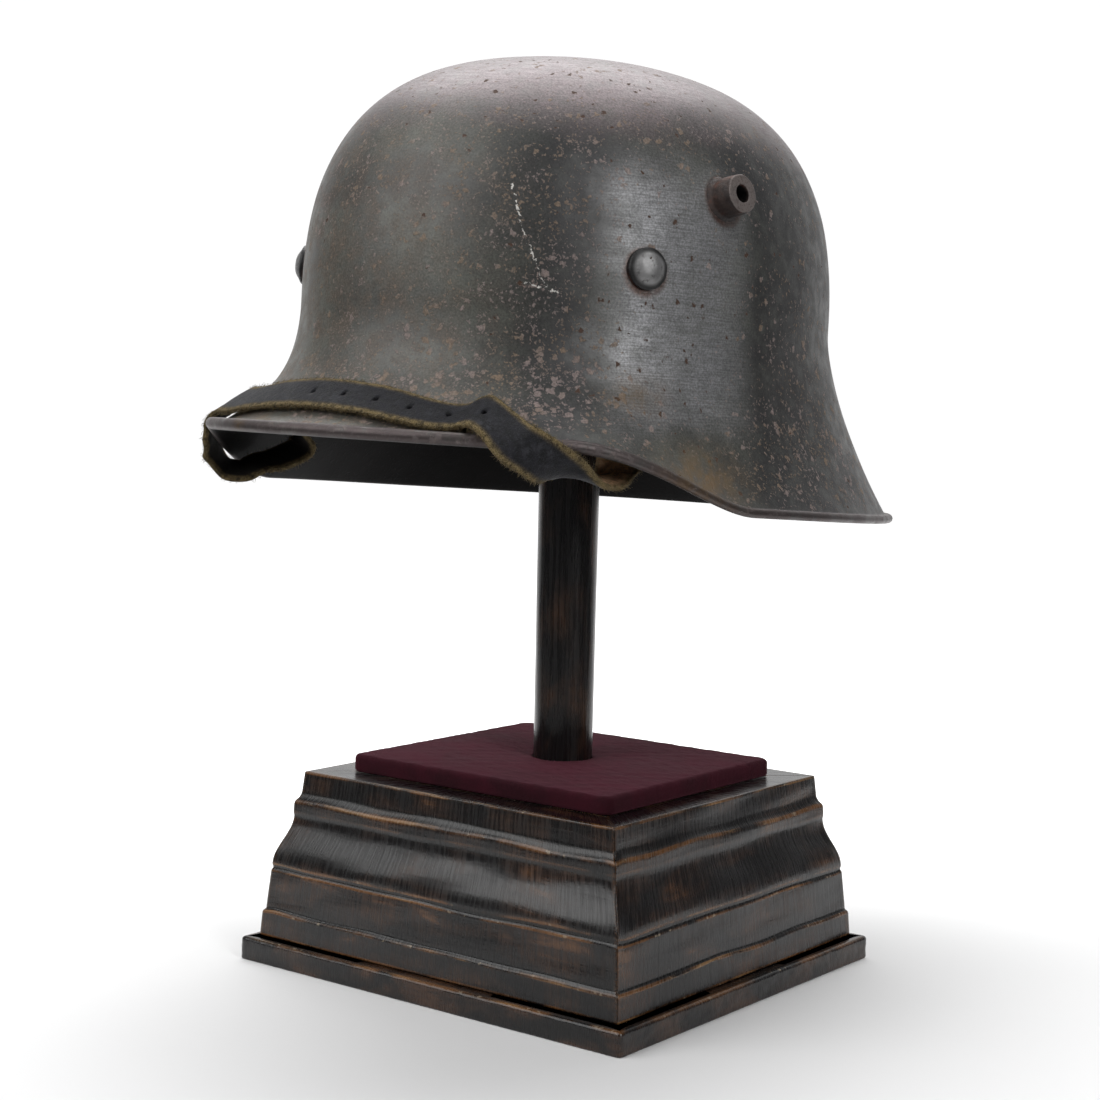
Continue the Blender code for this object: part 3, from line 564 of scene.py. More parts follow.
def shellZones(turn, height):
    # how much of each wear a place has, with painted shade in dark and a painted sheen in the polished bands
    # and crown: patches, bands eased in and out, and a slow unevenness
    t = np.where(turn > 180.0, turn - 360.0, turn)
    side = np.abs(t)
    uneven = 0.5 * wander(t / 46.0, height / 34.0, 11) + 0.35 * wander(t / 17.0, height / 13.0, 12)

    def patched(zone):
        front = sum(share * bump(t, at, wide) * bump(height, up, tall)
                    for share, at, wide, up, tall in patches[zone])
        return front + sum(share * bump(side, at, wide) * bump(height, up, tall)
                           for share, at, wide, up, tall in rearPatches.get(zone, []))

    def band(value, start, full, fade, end):
        return ease(value, start, full) * (1.0 - ease(value, fade, end))

    # polished bands: paint worn through to steel, and a painted sheen where the side lamp reflects
    wornSteelAndSheen = (ease(t + 4.0 * uneven, 35.0, 47.0) * (1.0 - ease(t, 59.0, 79.0))
                * ease(height + 7.0 * uneven, 24.0, 50.0) * (1.0 - ease(height, 108.0, 138.0)))
    wornSteelAndSheen += 0.8 * band(-t, 38.0, 54.0, 64.0, 92.0) * band(height, 22.0, 52.0, 106.0, 130.0)
    wornSteelAndSheen += 0.7 * ease(side, 128.0, 150.0) * band(height, 30.0, 60.0, 96.0, 124.0)
    # the crown's top, whose pinkish grey is partly worn paint and partly a painted sheen from the overhead
    # lamp
    crown = ease(height + 6.0 * uneven, 130.0, 154.0)
    spots = 0.30 + patched("spots") + 0.25 * uneven
    spots *= (1.0 - 0.93 * np.clip(wornSteelAndSheen, 0.0, 1.0)) * (1.0 - 0.55 * crown)
    # dark is painted shade: the paint blackened in bands where the dark surroundings reflect in it
    dark = (patched("dark") + 0.95 * bump(t, 31.0, 11.0) * (1.0 - ease(height, 126.0, 150.0))
            + 0.50 * bump(height, 134.0, 11.0) * band(t, 6.0, 40.0, 100.0, 140.0)
            + band(t, 64.0, 80.0, 120.0, 150.0) * (1.0 - ease(height, 130.0, 160.0))
            + 0.50 * bump(t, -100.0, 30.0) + 0.25 * uneven)
    warm = patched("warm") + 0.9 * bump(t, -14.0, 34.0) * (1.0 - ease(height, 120.0, 160.0)) + 0.3 * uneven
    blotch = (patched("blotch") + 0.2 * uneven
              + 1.1 * bump(t, 25.0, 23.0) * bump(height, 38.0, 13.0) * (1.0 - ease(t, 44.0, 56.0)))
    zones = {"wornSteelAndSheen": wornSteelAndSheen, "crown": crown, "spots": spots, "warm": warm, "dark": dark,
             "dots": 0.10 + patched("dots") + 0.3 * crown, "stain": patched("stain"), "blotch": blotch}
    return {key: np.clip(value, 0.0, 1.0) for key, value in zones.items()}


turn, height, points, edge, inside = shellGrid()
zones = shellZones(turn[None, :], height)
zones.update(edge=edge, inside=inside)
uvTurn = np.append(turn, 180.0)
uv = together(np.radians(uvTurn)[None, :] * 0.11, np.append(height, height[:, :1], axis=1) * mm)
shellMesh = gridMesh("worn_shell", seatHelmet(points), uv, zones)
print("shell worked out:", len(shellMesh.polygons), "faces")


# Where the fittings sit

fittings = {
    "rivetTurn": 46.7, "rivetHeight": 89.1, "rearRivetHeight": 78.0, "rivetRadius": 7.5,
    "rivetRise": 4.6, "rivetShank": 2.2, "clinchRadius": 4.6, "clinch": 1.0,
    "lugTurn": 66.8, "lugHeight": 117.0, "lugLength": 9.4, "lugTip": 7.0, "lugBase": 8.0,
    "lugBore": 3.2, "lugShank": 4.6, "lugInside": 2.0, "lugAim": 76.4, "lugTilt": 10.9, "gap": 0.3,
    "strapGap": 1.0, "strapThickness": 2.5,
}
f = fittings
rivetSpots = {"left": (f["rivetTurn"], f["rivetHeight"]), "right": (-f["rivetTurn"], f["rivetHeight"]),
              "rear": (180.0, f["rearRivetHeight"])}
lugSides = {"left": 1.0, "right": -1.0}


def lugAxis(side):
    # foot of a lug on the shell, and the way that it points
    return (atHeight(side * f["lugTurn"], f["lugHeight"]),
            unit(polar(side * f["lugAim"], 1.0, np.tan(np.radians(f["lugTilt"])))))


def shellSign(points):
    # below 0 inside the crown's outer skin and above 0 outside it, in millimetres near the skin;
    # the crown's radius at a height is band * (1 - up ^ top) ^ (1 / side)
    radius = np.hypot(points[..., 0], points[..., 1])
    turn = np.degrees(np.arctan2(points[..., 0], -points[..., 1]))
    up = np.clip((points[..., 2] - s["bandHeight"]) / s["crownRise"], 0.0, 1.0)
    reach = bandRadius(turn) * (1.0 - up ** s["topPower"]) ** (1.0 / s["sidePower"])
    return radius - reach


rivetPoints = {key: seatHelmet(atHeight(*spot)) for key, spot in rivetSpots.items()}
lugPoints = {key: seatHelmet(lugAxis(side)[0]) for key, side in lugSides.items()}


# Shell's finish: worn dark paint over steel, with rust spots

shellLook = {
    "paint": (0.046, 0.047, 0.043), "greenPaint": (0.092, 0.095, 0.080), "brownPaint": (0.086, 0.067, 0.050),
    # black is painted shade; steel and crown are partly painted sheen
    "steel": (0.315, 0.317, 0.326), "crown": (0.142, 0.115, 0.119), "black": (0.011, 0.011, 0.012),
    "tanSpot": (0.215, 0.152, 0.104), "pinkSpot": (0.265, 0.208, 0.192), "rust": (0.055, 0.026, 0.015),
    "halo": (0.085, 0.050, 0.034), "edge": (0.088, 0.072, 0.071), "stain": (0.135, 0.082, 0.030),
    "scratch": (0.62, 0.60, 0.56), "inside": (0.0100, 0.0095, 0.0095),
    "creep": (0.105, 0.036, 0.015),
    "blotchSize": 330.0, "spotSize": 300.0, "fineSpotSize": 880.0, "dotSize": 260.0,   # cells to a metre
    "warp": 0.0032, "creepReach": (0.1, 2.6), "relief": 0.00016,
    # scratches on the left of the visor: ends as (turn, height), half width in millimetres
    "scratches": [((20.5, 116.5), (24.2, 97.0), 0.42), ((23.8, 98.5), (28.6, 79.5), 0.36),
                  ((24.2, 82.0), (30.6, 78.6), 0.50)],
}


def shellFinish():
    look = shellLook
    m = Finish("worn_painted_steel", IOR=1.5)
    zone = {key: m.value(key) for key in
            ("wornSteelAndSheen", "crown", "spots", "dots", "warm", "dark", "stain", "blotch", "edge", "inside")}
    # warped place, so that no mark is a true circle
    warp = m.add("TexNoise", "Color", {"Vector": m.place, "Scale": 520.0, "Detail": 2.0})
    shift = m.add("VectorMath", "Vector", {0: warp, 1: (0.5, 0.5, 0.5)}, operation="SUBTRACT")
    shift = m.scaled(shift, look["warp"])
    ragged = m.add("VectorMath", "Vector", {0: m.place, 1: shift}, operation="ADD")
    broad = m.noise(m.place, 26.0, 5.0, 0.6)
    middle = m.noise(m.place, 140.0, 5.0, 0.65)
    fine = m.noise(m.place, 1300.0, 3.0, 0.6)

    # paint: black to green-grey in broad clouds, browned where warm, and blackened as painted shade where
    # dark
    colour = m.mix(m.span(broad, 0.35, 0.65), look["paint"], look["greenPaint"])
    warmth = m.times(zone["warm"], m.span(middle, 0.30, 0.66))
    colour = m.mix(warmth, colour, look["brownPaint"])
    paintedShade = m.times(zone["dark"], m.span(middle, 0.20, 0.55, 0.5, 1.0))
    colour = m.mix(m.times(paintedShade, 0.93), colour, look["black"])

    # polished bands: steel shows through with level brush lines, and its light grey is also a painted sheen
    # where the side lamp reflects
    lines = m.noise(m.stretch(m.uv, 70.0, 1900.0), 1.0, 2.0, 0.5)
    lines = m.span(lines, 0.34, 0.66)
    steelAndSheen = m.times(zone["wornSteelAndSheen"], m.span(middle, 0.25, 0.60, 0.55, 1.0),
                    m.span(lines, 0.0, 1.0, 0.60, 1.0))
    colour = m.mix(steelAndSheen, colour, look["steel"])
    # crown: the top painted pinkish grey, partly worn paint and partly a painted sheen from the overhead lamp
    crownToneAndSheen = m.times(zone["crown"], m.span(middle, 0.22, 0.60, 0.55, 1.0))
    colour = m.mix(crownToneAndSheen, colour, look["crown"])
    bare = m.most(steelAndSheen, m.times(crownToneAndSheen, 0.8))

    # mottle at a millimetre and below
    grain = m.span(fine, 0.30, 0.70, 0.72, 1.35)
    colour = m.scaled(colour, grain)

    # tan and pinkish spots in two sizes, thicker where broad noise gathers them
    gather = m.times(zone["spots"], m.span(middle, 0.36, 0.66, 0.25, 1.5))
    big = m.spots(ragged, look["spotSize"], m.times(gather, 0.85), 0.16, 0.44, 0.14)
    small = m.spots(ragged, look["fineSpotSize"], m.times(gather, 1.25), 0.20, 0.56, 0.18)
    spotMask = m.most(m.times(big, 0.68), m.times(small, 0.55))
    crowd = m.times(zone["blotch"], m.span(middle, 0.34, 0.60, 0.45, 1.0))
    blotches = m.spots(ragged, look["blotchSize"], crowd, 0.26, 0.60, 0.16)
    spotMask = m.most(spotMask, m.times(blotches, 0.76))
    spotColour = m.mix(m.span(m.noise(m.place, 60.0), 0.40, 0.60), look["tanSpot"], look["pinkSpot"])
    spotColour = m.scaled(spotColour, m.span(fine, 0.3, 0.7, 0.6, 1.2))
    colour = m.mix(spotMask, colour, spotColour)

    # dark rust dots, each in a brown halo
    dots = m.spots(ragged, look["dotSize"], m.times(zone["dots"], 0.90), 0.08, 0.24, 0.05)
    halo = m.spots(ragged, look["dotSize"], m.times(zone["dots"], 0.90), 0.15, 0.38, 0.20)
    colour = m.mix(m.times(halo, 0.6), colour, look["halo"])
    colour = m.mix(m.times(dots, 0.92), colour, look["rust"])

    # rust creeping out from under each rivet and lug
    creep = None
    for point, reach in [(p, f["rivetRadius"]) for p in rivetPoints.values()] + \
            [(p, f["lugBase"]) for p in lugPoints.values()]:
        low = Vector(point) - Vector((0.0, 0.0, 0.0010))
        ring = m.near(low, *((reach + more) * mm for more in look["creepReach"]))
        creep = ring if creep is None else m.most(creep, ring)
    creep = m.times(creep, m.span(middle, 0.30, 0.62, 0.25, 1.0))
    colour = m.mix(m.times(creep, 0.80), colour, m.mix(m.span(fine, 0.42, 0.60), look["rust"], look["creep"]))

    # rolled edge rubbed to bare metal, and a few yellow stains
    rubbed = m.times(zone["edge"], m.span(middle, 0.30, 0.52, 0.45, 1.0))
    colour = m.mix(rubbed, colour, look["edge"])
    colour = m.mix(m.times(zone["stain"], m.span(middle, 0.35, 0.6, 0.2, 0.9)), colour, look["stain"])

    # scratches: distance from a plane through both ends and the helmet's axis, broken by noise
    scratch = None
    for (turnA, heightA), (turnB, heightB), half in look["scratches"]:
        a, b = Vector(seatHelmet(atHeight(turnA, heightA))), Vector(seatHelmet(atHeight(turnB, heightB)))
        along = b - a
        side = along.cross(Vector(seatHelmet(surfaceFrame(turnA, heightA)[0] * 100.0))
                           - Vector(seatHelmet(np.zeros(3)))).normalized()
        fromPlane = m.math("ABSOLUTE", m.less(m.dot(ragged, side), side.dot(a)))
        share = m.less(m.dot(m.place, along / along.length_squared), along.dot(a) / along.length_squared)
        ends = m.times(m.span(share, 0.0, 0.06), m.span(share, 0.94, 1.0, 1.0, 0.0))
        front = m.near((a + b) / 2.0, 0.030, 0.032)
        line = m.times(m.span(fromPlane, 0.4 * half * mm, half * mm, 1.0, 0.0), ends, front)
        scratch = line if scratch is None else m.most(scratch, line)
    broken = m.span(m.noise(m.place, 560.0, 3.0, 0.7), 0.46, 0.58)
    colour = m.mix(m.times(scratch, broken), colour, look["scratch"])

    # inside left dull and dark
    colour = m.mix(zone["inside"], colour, look["inside"])
    outside = m.less(1.0, zone["inside"])
    metal = m.most(m.times(bare, 0.75), m.times(rubbed, 0.8))
    cover = m.less(1.0, m.most(spotMask, dots))
    metal = m.most(m.times(metal, cover, outside), zone["inside"])
    rough = m.span(middle, 0.3, 0.7, 0.40, 0.54)
    rough = m.blend(bare, rough, m.span(lines, 0.0, 1.0, 0.36, 0.48))
    rough = m.blend(m.most(spotMask, m.most(dots, zone["inside"])), rough, 0.78)
    height = m.less(m.plus(m.times(fine, 0.35), m.times(middle, 0.6), m.times(spotMask, 0.5)), dots)
    height = m.plus(height, m.times(lines, steelAndSheen, 0.12))
    m.set(Base_Color=colour, Metallic=metal, Roughness=rough, Normal=m.relief(height, look["relief"], 0.9))
    return m.material


shell = addPiece(shellMesh, shellFinish(), ["shell"])
starts, ends = [], []
for side in lugSides.values():
    point, axis = lugAxis(side)
    starts.append(seatHelmet(point - axis * 24.0))
    ends.append(seatHelmet(point + axis * 14.0))
cutAway(shell, rods("shank_holes", np.array(starts), np.array(ends), (f["lugShank"] + f["gap"]) * mm, 48))
print("shell finished")


# Turned fittings: a closed outline of (radius, height) carried round an axis

def turnedPoints(outline, origin, axis, sides):
    # outline has one row per point. Its radius and height may differ round the axis
    across = unit(np.cross([0.0, 0.0, 1.0], axis))
    other = np.cross(axis, across)
    angle = np.linspace(0.0, 2.0 * np.pi, sides, endpoint=False)
    circle = across * np.cos(angle)[:, None] + other * np.sin(angle)[:, None]
    radius, height = outline[..., 0], outline[..., 1]
    if outline.ndim == 2:
        radius, height = radius[:, None], height[:, None]
    return origin + circle[None] * radius[..., None] + axis * height[..., None]


def roundedOutline(corners, soft, spacing):
    # corners joined by straight lines at even spacing, then averaged over a width of soft
    corners = np.array(corners, float)
    run = runLength(corners)
    even = np.linspace(0.0, run[-1], int(run[-1] / spacing) + 2)
    line = lineAt(even, run, corners)
    reach = max(int(2.0 * soft / spacing), 1)
    padded = np.vstack([2.0 * line[0] - line[reach:0:-1], line, 2.0 * line[-1] - line[-2:-reach - 2:-1]])
    return softened(padded, reach, spacing, soft)


def turnedUv(rows, columns, width, tall):
    # even UV map over a turned grid, in metres
    across = np.linspace(0.0, width, columns + 1)
    return together(across[None, :], np.linspace(0.0, tall, rows)[:, None])


# the skirt's near black, darker than the shell's paint, is painted shade on the head's side wall; the dome's
# grey is the top worn to bare steel
rivetLook = {"skirt": (0.008, 0.0075, 0.0075), "dome": (0.260, 0.258, 0.258), "pit": (0.035, 0.022, 0.016),
             "rust": (0.080, 0.022, 0.010), "pitDepth": 0.22, "skirtHeight": 1.7, "faceRadius": 5.6}


def rivetFinish():
    look = rivetLook
    m = Finish("worn_rivet_steel")
    worn, low = m.value("worn"), m.value("low")
    middle = m.noise(m.place, 420.0, 4.0, 0.6)
    fine = m.noise(m.place, 1700.0, 3.0, 0.6)
    bare = m.times(worn, m.span(middle, 0.28, 0.48, 0.35, 1.0))
    # the skirt painted near black as shade on its side wall, the worn top bare steel
    colour = m.mix(bare, look["skirt"], look["dome"])
    pits = m.times(m.value("pits"), m.span(fine, 0.30, 0.44))
    colour = m.mix(pits, colour, look["pit"])
    colour = m.mix(m.times(low, m.span(middle, 0.35, 0.6, 0.3, 1.0)), colour, look["rust"])
    m.set(Base_Color=colour, Metallic=m.times(bare, 0.7),
          Roughness=m.span(fine, 0.3, 0.7, 0.38, 0.58), Normal=m.relief(fine, 0.00012, 0.8))
    return m.material


def rivetMesh(name, turn, height, depth, seed):
    # head: a short upright skirt, a rounded shoulder and a flat dome, with shallow pits
    normal, _ = surfaceFrame(turn, height)
    origin = atHeight(turn, height)
    radius, rise = f["rivetRadius"], f["rivetRise"]
    dome = [(r, rise - (rise - rivetLook["skirtHeight"] - 1.0) * (r / rivetLook["faceRadius"]) ** 2.6)
            for r in np.linspace(0.4, rivetLook["faceRadius"], 24)]
    outline = dome + [(radius, rivetLook["skirtHeight"]), (radius, -0.6), (f["rivetShank"], -0.6),
                      (f["rivetShank"], -depth), (f["clinchRadius"], -depth),
                      (f["clinchRadius"] - 0.4, -depth - f["clinch"]), (0.4, -depth - f["clinch"])]
    outline = roundedOutline(outline, 0.42, 0.16)
    sides = 96
    angle = np.linspace(0.0, 2.0 * np.pi, sides, endpoint=False)[None, :]
    r, h = outline[:, :1], outline[:, 1:]
    x, y = r * np.cos(angle), r * np.sin(angle)
    top = ease(h, 1.2, 2.6)
    pits = np.clip(wander(x / 4.6, y / 4.6, seed, 9) - 0.98, 0.0, 1.0) * top
    wave = wander(x / 9.0, y / 9.0, seed + 1)
    lumpy = h - rivetLook["pitDepth"] * pits * 2.0 + 0.08 * wave * top
    grid = np.stack([r * (1.0 + 0.008 * wave), lumpy], -1)
    points = turnedPoints(grid, origin, normal, sides)
    worn = ease(h, 2.1, 3.2) + 0.0 * angle
    low = (1.0 - ease(h, 0.0, 1.3)) * ease(-points[..., 2], -origin[2] - 2.0, -origin[2] + 7.0) \
        * (h > -1.0)
    values = {"worn": worn, "pits": ease(pits, 0.02, 0.2), "low": low}
    return gridMesh(name, seatHelmet(points), turnedUv(len(outline), sides, 0.047, 0.03), values)


rivetSteel = rivetFinish()
strapDepth = s["sheet"] + f["strapGap"] + f["strapThickness"] + f["gap"]
for seed, (key, (turnAt, heightAt)) in enumerate(rivetSpots.items()):
    depth = s["sheet"] + f["gap"] if key == "rear" else strapDepth
    addPiece(rivetMesh("rivet_head_" + key, turnAt, heightAt, depth, 20 + seed), rivetSteel,
             ["liner_rivet_" + key])

# the bore's near black is painted shade inside the hole
lugLook = {"skin": (0.048, 0.028, 0.022), "dark": (0.017, 0.011, 0.010), "red": (0.105, 0.036, 0.020),
           "face": (0.185, 0.160, 0.150), "bore": (0.006, 0.005, 0.005)}


def lugFinish():
    look = lugLook
    m = Finish("rusty_lug_steel")
    broad = m.noise(m.place, 130.0, 4.0, 0.6)
    fine = m.noise(m.place, 1200.0, 4.0, 0.65)
    colour = m.mix(m.span(broad, 0.36, 0.62), look["dark"], look["skin"])
    colour = m.mix(m.times(m.span(broad, 0.50, 0.66), m.span(fine, 0.40, 0.60)), colour, look["red"])
    face = m.times(m.value("face"), m.span(fine, 0.34, 0.56, 0.35, 1.0))
    colour = m.mix(face, colour, look["face"])
    # the inside of the bore painted near black as shade
    colour = m.mix(m.value("bore"), colour, look["bore"])
    m.set(Base_Color=colour, Metallic=m.times(face, 0.5),
          Roughness=m.span(fine, 0.3, 0.7, 0.50, 0.72), Normal=m.relief(fine, 0.00022, 0.9))
    return m.material


def lugMesh(name, side):
    # closed ring outline: up the boss from the skin of the crown, over the tip, down the bore and
    # back along the shank. Each point of the foot slides along the axis until it meets the skin
    origin, axis = lugAxis(side)
    sides = 112
    tip, baseRadius, long = f["lugTip"], f["lugBase"], f["lugLength"]
    inner = -(2.0 * f["lugShank"] + s["sheet"] + f["lugInside"])
    foot = turnedPoints(np.array([[baseRadius, 0.0]]), origin, axis, sides)[0]
    low, high = np.full(sides, -14.0), np.full(sides, 14.0)
    for _ in range(30):                              # halving finds the skin in every column at once
        middle = (low + high) / 2.0
        outside = shellSign(foot + axis * middle[:, None]) > 0.0
        low, high = np.where(outside, low, middle), np.where(outside, middle, high)
    footHeight = middle - 0.25
    boss = roundedOutline([(baseRadius + 0.5, 0.0), (baseRadius - 0.9, 1.4), (tip + 0.3, 0.45 * long),
                           (tip, long - 0.1), (tip - 0.1, long), (f["lugBore"] + 0.1, long),
                           (f["lugBore"], long - 0.2), (f["lugBore"], inner)], 0.45, 0.22)
    shank = roundedOutline([(f["lugShank"], inner), (f["lugShank"], -9.0)], 0.3, 0.5)
    outline = np.vstack([boss, shank])
    r, h = outline[:, :1], outline[:, 1:]
    column = np.linspace(0.0, 2.0 * np.pi, sides, endpoint=False)[None, :]
    onBoss = (np.arange(len(outline)) < len(boss))[:, None] & (r > f["lugBore"] + 0.6)
    slide = footHeight[None, :] * np.clip(1.0 - h / (0.85 * long), 0.0, 1.0) ** 1.2
    slide = np.where(onBoss & (h > -0.5), slide, 0.0)
    lump = wander(column * 1.1, h / 9.0, 31) * 0.10 * onBoss
    grid = together(r + lump, h + slide)
    points = turnedPoints(grid, origin, axis, sides)
    face = ease(h, long - 0.5, long - 0.12) * ease(r, f["lugBore"] - 0.1, f["lugBore"] + 0.2)
    # bore marks the inside of the hole, which the finish paints near black as shade
    bore = (1.0 - ease(r, f["lugBore"] + 0.05, f["lugBore"] + 0.5)) * ease(-h, -long + 0.6, -long + 1.8)
    return gridMesh(name, seatHelmet(points), turnedUv(len(outline), sides, 0.047, 0.06),
                    {"face": face, "bore": bore}, "ring")


lugSteel = lugFinish()
for key, side in lugSides.items():
    addPiece(lugMesh("vent_boss_" + key, side), lugSteel, ["vent_lug_" + key])
print("rivets and lugs finished")


# Chin strap: a leather ribbon on the route that the model gives it

strapShape = {
    "width": 16.0, "thickness": 2.5, "gap": 1.0, "tail": 9.0, "stations": 118, "settles": 30,
    "rows": 760, "sections": 44, "wave": 0.35,
    "holeRadius": 1.3, "holePitch": 15.0, "firstHole": -18.5, "holes": 6,
    # on the visor: turn, middle's height up from the rim in strap widths
    "onVisor": [(-26.0, 0.98), (-16.0, 1.28), (-6.0, 1.40), (4.5, 1.24), (13.5, 0.86), (18.5, 0.68)],
    # loose runs: turn, inset from the rim and rise from the visor in strap widths, lean, swing
    "leftRun": [(22.5, 0.24, 0.41, 42.0, 0.0), (25.5, 0.00, 0.09, 53.0, 0.0), (28.5, -0.27, -0.15, 84.0, 0.0),
                (31.5, -0.08, -0.38, 130.0, 0.0), (35.0, 0.34, -0.56, 167.0, 0.0),
                (38.0, 0.62, -0.66, 190.0, 0.0), (41.0, 0.92, -0.70, 192.0, 4.0),
                (44.0, 1.22, -0.62, 188.0, 18.0)],
    "rightRun": [(41.0, 0.24, 0.31, 42.0, 0.0), (43.8, 0.00, -0.10, 55.0, 0.0),
                 (46.5, -0.27, -0.46, 86.0, 0.0), (48.5, -0.02, -0.86, 135.0, 0.0),
                 (50.5, 0.36, -0.98, 166.0, 0.0), (52.5, 0.76, -0.92, 177.0, 0.0),
                 (54.3, 1.16, -0.76, 182.0, 6.0), (55.5, 1.55, -0.46, 186.0, 25.0)],
    # rise inside the wall: share of the rivet's height, widths off where it lies on it, swing
    "rise": [(0.36, 0.46, 62.0), (0.55, 0.18, 84.0), (0.78, 0.00, 90.0)],
}
p = strapShape


def strapEnd(side):
    # stations (middle, width direction) from the visor round under it and up to the rivet
    run = p["leftRun"] if side > 0 else p["rightRun"]
    stations = []
    for turnAt, inset, rise, lean, swing in run:
        place = polar(side * turnAt, *rim(side * turnAt))
        along = polar(side * turnAt + 1.0, *rim(side * turnAt + 1.0)) \
            - polar(side * turnAt - 1.0, *rim(side * turnAt - 1.0))
        along[2] = 0.0
        along = unit(along)
        out = np.array([along[1], -along[0], 0.0])
        place = place - out * inset * p["width"]
        place[2] = s["visorHeight"] + rise * p["width"]
        lean, swing = np.radians((lean, swing))
        across = -np.cos(lean) * out + np.sin(lean) * np.array([0.0, 0.0, 1.0])
        stations.append((place, np.cos(swing) * across + np.sin(swing) * side * along))
    start = side * run[-1][0]
    seatOff = s["sheet"] + p["gap"] + p["thickness"] / 2.0
    for share, off, swing in p["rise"]:
        turnAt = start + (side * f["rivetTurn"] - start) * smooth(share)
        normal, around = surfaceFrame(turnAt, share * f["rivetHeight"])
        place = atHeight(turnAt, share * f["rivetHeight"])
        place = place - normal * (seatOff + off * p["width"])
        swing = np.radians(swing)
        stations.append((place, np.cos(swing) * normal + np.sin(swing) * side * around))
    for up in (0.0, p["tail"]):
        normal, around = surfaceFrame(side * f["rivetTurn"], f["rivetHeight"] + up)
        place = atHeight(side * f["rivetTurn"], f["rivetHeight"] + up) - normal * seatOff
        stations.append((place, side * around))
    return stations


def strapOverVisor():
    # stations on the visor: the strap's two edges lie on the shell, and its middle is off it by the gap
    stations = []
    for turnAt, up in p["onVisor"]:
        low = upFromRim(turnAt, (up - 0.5) * p["width"])
        high = upFromRim(turnAt, (up + 0.5) * p["width"])
        around = polar(turnAt + 1.0, *rim(turnAt + 1.0)) - polar(turnAt - 1.0, *rim(turnAt - 1.0))
        around[2] = 0.0
        face = unit(np.cross(unit(around), unit(high - low)))
        stations.append(((low + high) / 2.0 + face * (p["thickness"] / 2.0 + p["gap"]), unit(high - low)))
    return stations


def clearOfRoll(path, width):
    # pushes each station away from the rolled edge's middle line until the leather clears it
    turns = np.linspace(-90.0, 90.0, 181)
    middle, roll, _, _ = rimRoll(turns)
    middles = polar(turns, middle[:, 0], middle[:, 1])
    reach = roll + p["thickness"] / 2.0 + p["gap"]
    shares = np.linspace(-0.5, 0.5, 17)[None, :, None] * p["width"]
    rows = np.arange(len(path))
    path = path.copy()
    for _ in range(p["settles"]):
        spots = path[:, None, :] + shares * width[:, None, :]
        away = spots[:, :, None, :] - middles
        short = (reach - np.linalg.norm(away, axis=3)).reshape(len(path), -1)
        worst = np.argmax(short, axis=1)
        push = unit(away.reshape(len(path), -1, 3)[rows, worst])
        push *= np.maximum(short[rows, worst], 0.0)[:, None]
        path[1:-1] += (push[:-2] + 2.0 * push[1:-1] + push[2:]) / 4.0
    return path


def strapRoute():
    # even steps along the strap, its middle line, width direction and face direction
    stations = strapEnd(-1.0)[::-1] + strapOverVisor() + strapEnd(1.0)
    both = np.hstack([np.array([st[0] for st in stations]), np.array([st[1] for st in stations])])
    run = runLength(both[:, :3])
    fine = np.linspace(0.0, run[-1], 1200)
    length = runLength(cubicThrough(run, both, fine)[:, :3])
    coarse = np.linspace(0.0, length[-1], p["stations"])
    both = cubicThrough(run, both, np.interp(coarse, length, fine))
    path, width = both[:, :3], both[:, 3:]
    ahead = unit(np.gradient(path, axis=0))
    width = unit(width - ahead * np.sum(width * ahead, axis=1, keepdims=True))
    path = clearOfRoll(path, width)
    even = np.linspace(0.0, coarse[-1], p["rows"])
    both = cubicThrough(coarse, np.hstack([path, width]), even)
    path, width = both[:, :3], both[:, 3:]
    ahead = unit(np.gradient(path, axis=0))
    width = unit(width - ahead * np.sum(width * ahead, axis=1, keepdims=True))
    return even, path, width, np.cross(ahead, width)


even, path, width, face = strapRoute()
onFront = np.abs(path[:, 0]) + 1000.0 * (path[:, 1] > 0.5 * path[:, 1].min())
strapMiddle = even[np.argmin(onFront)]


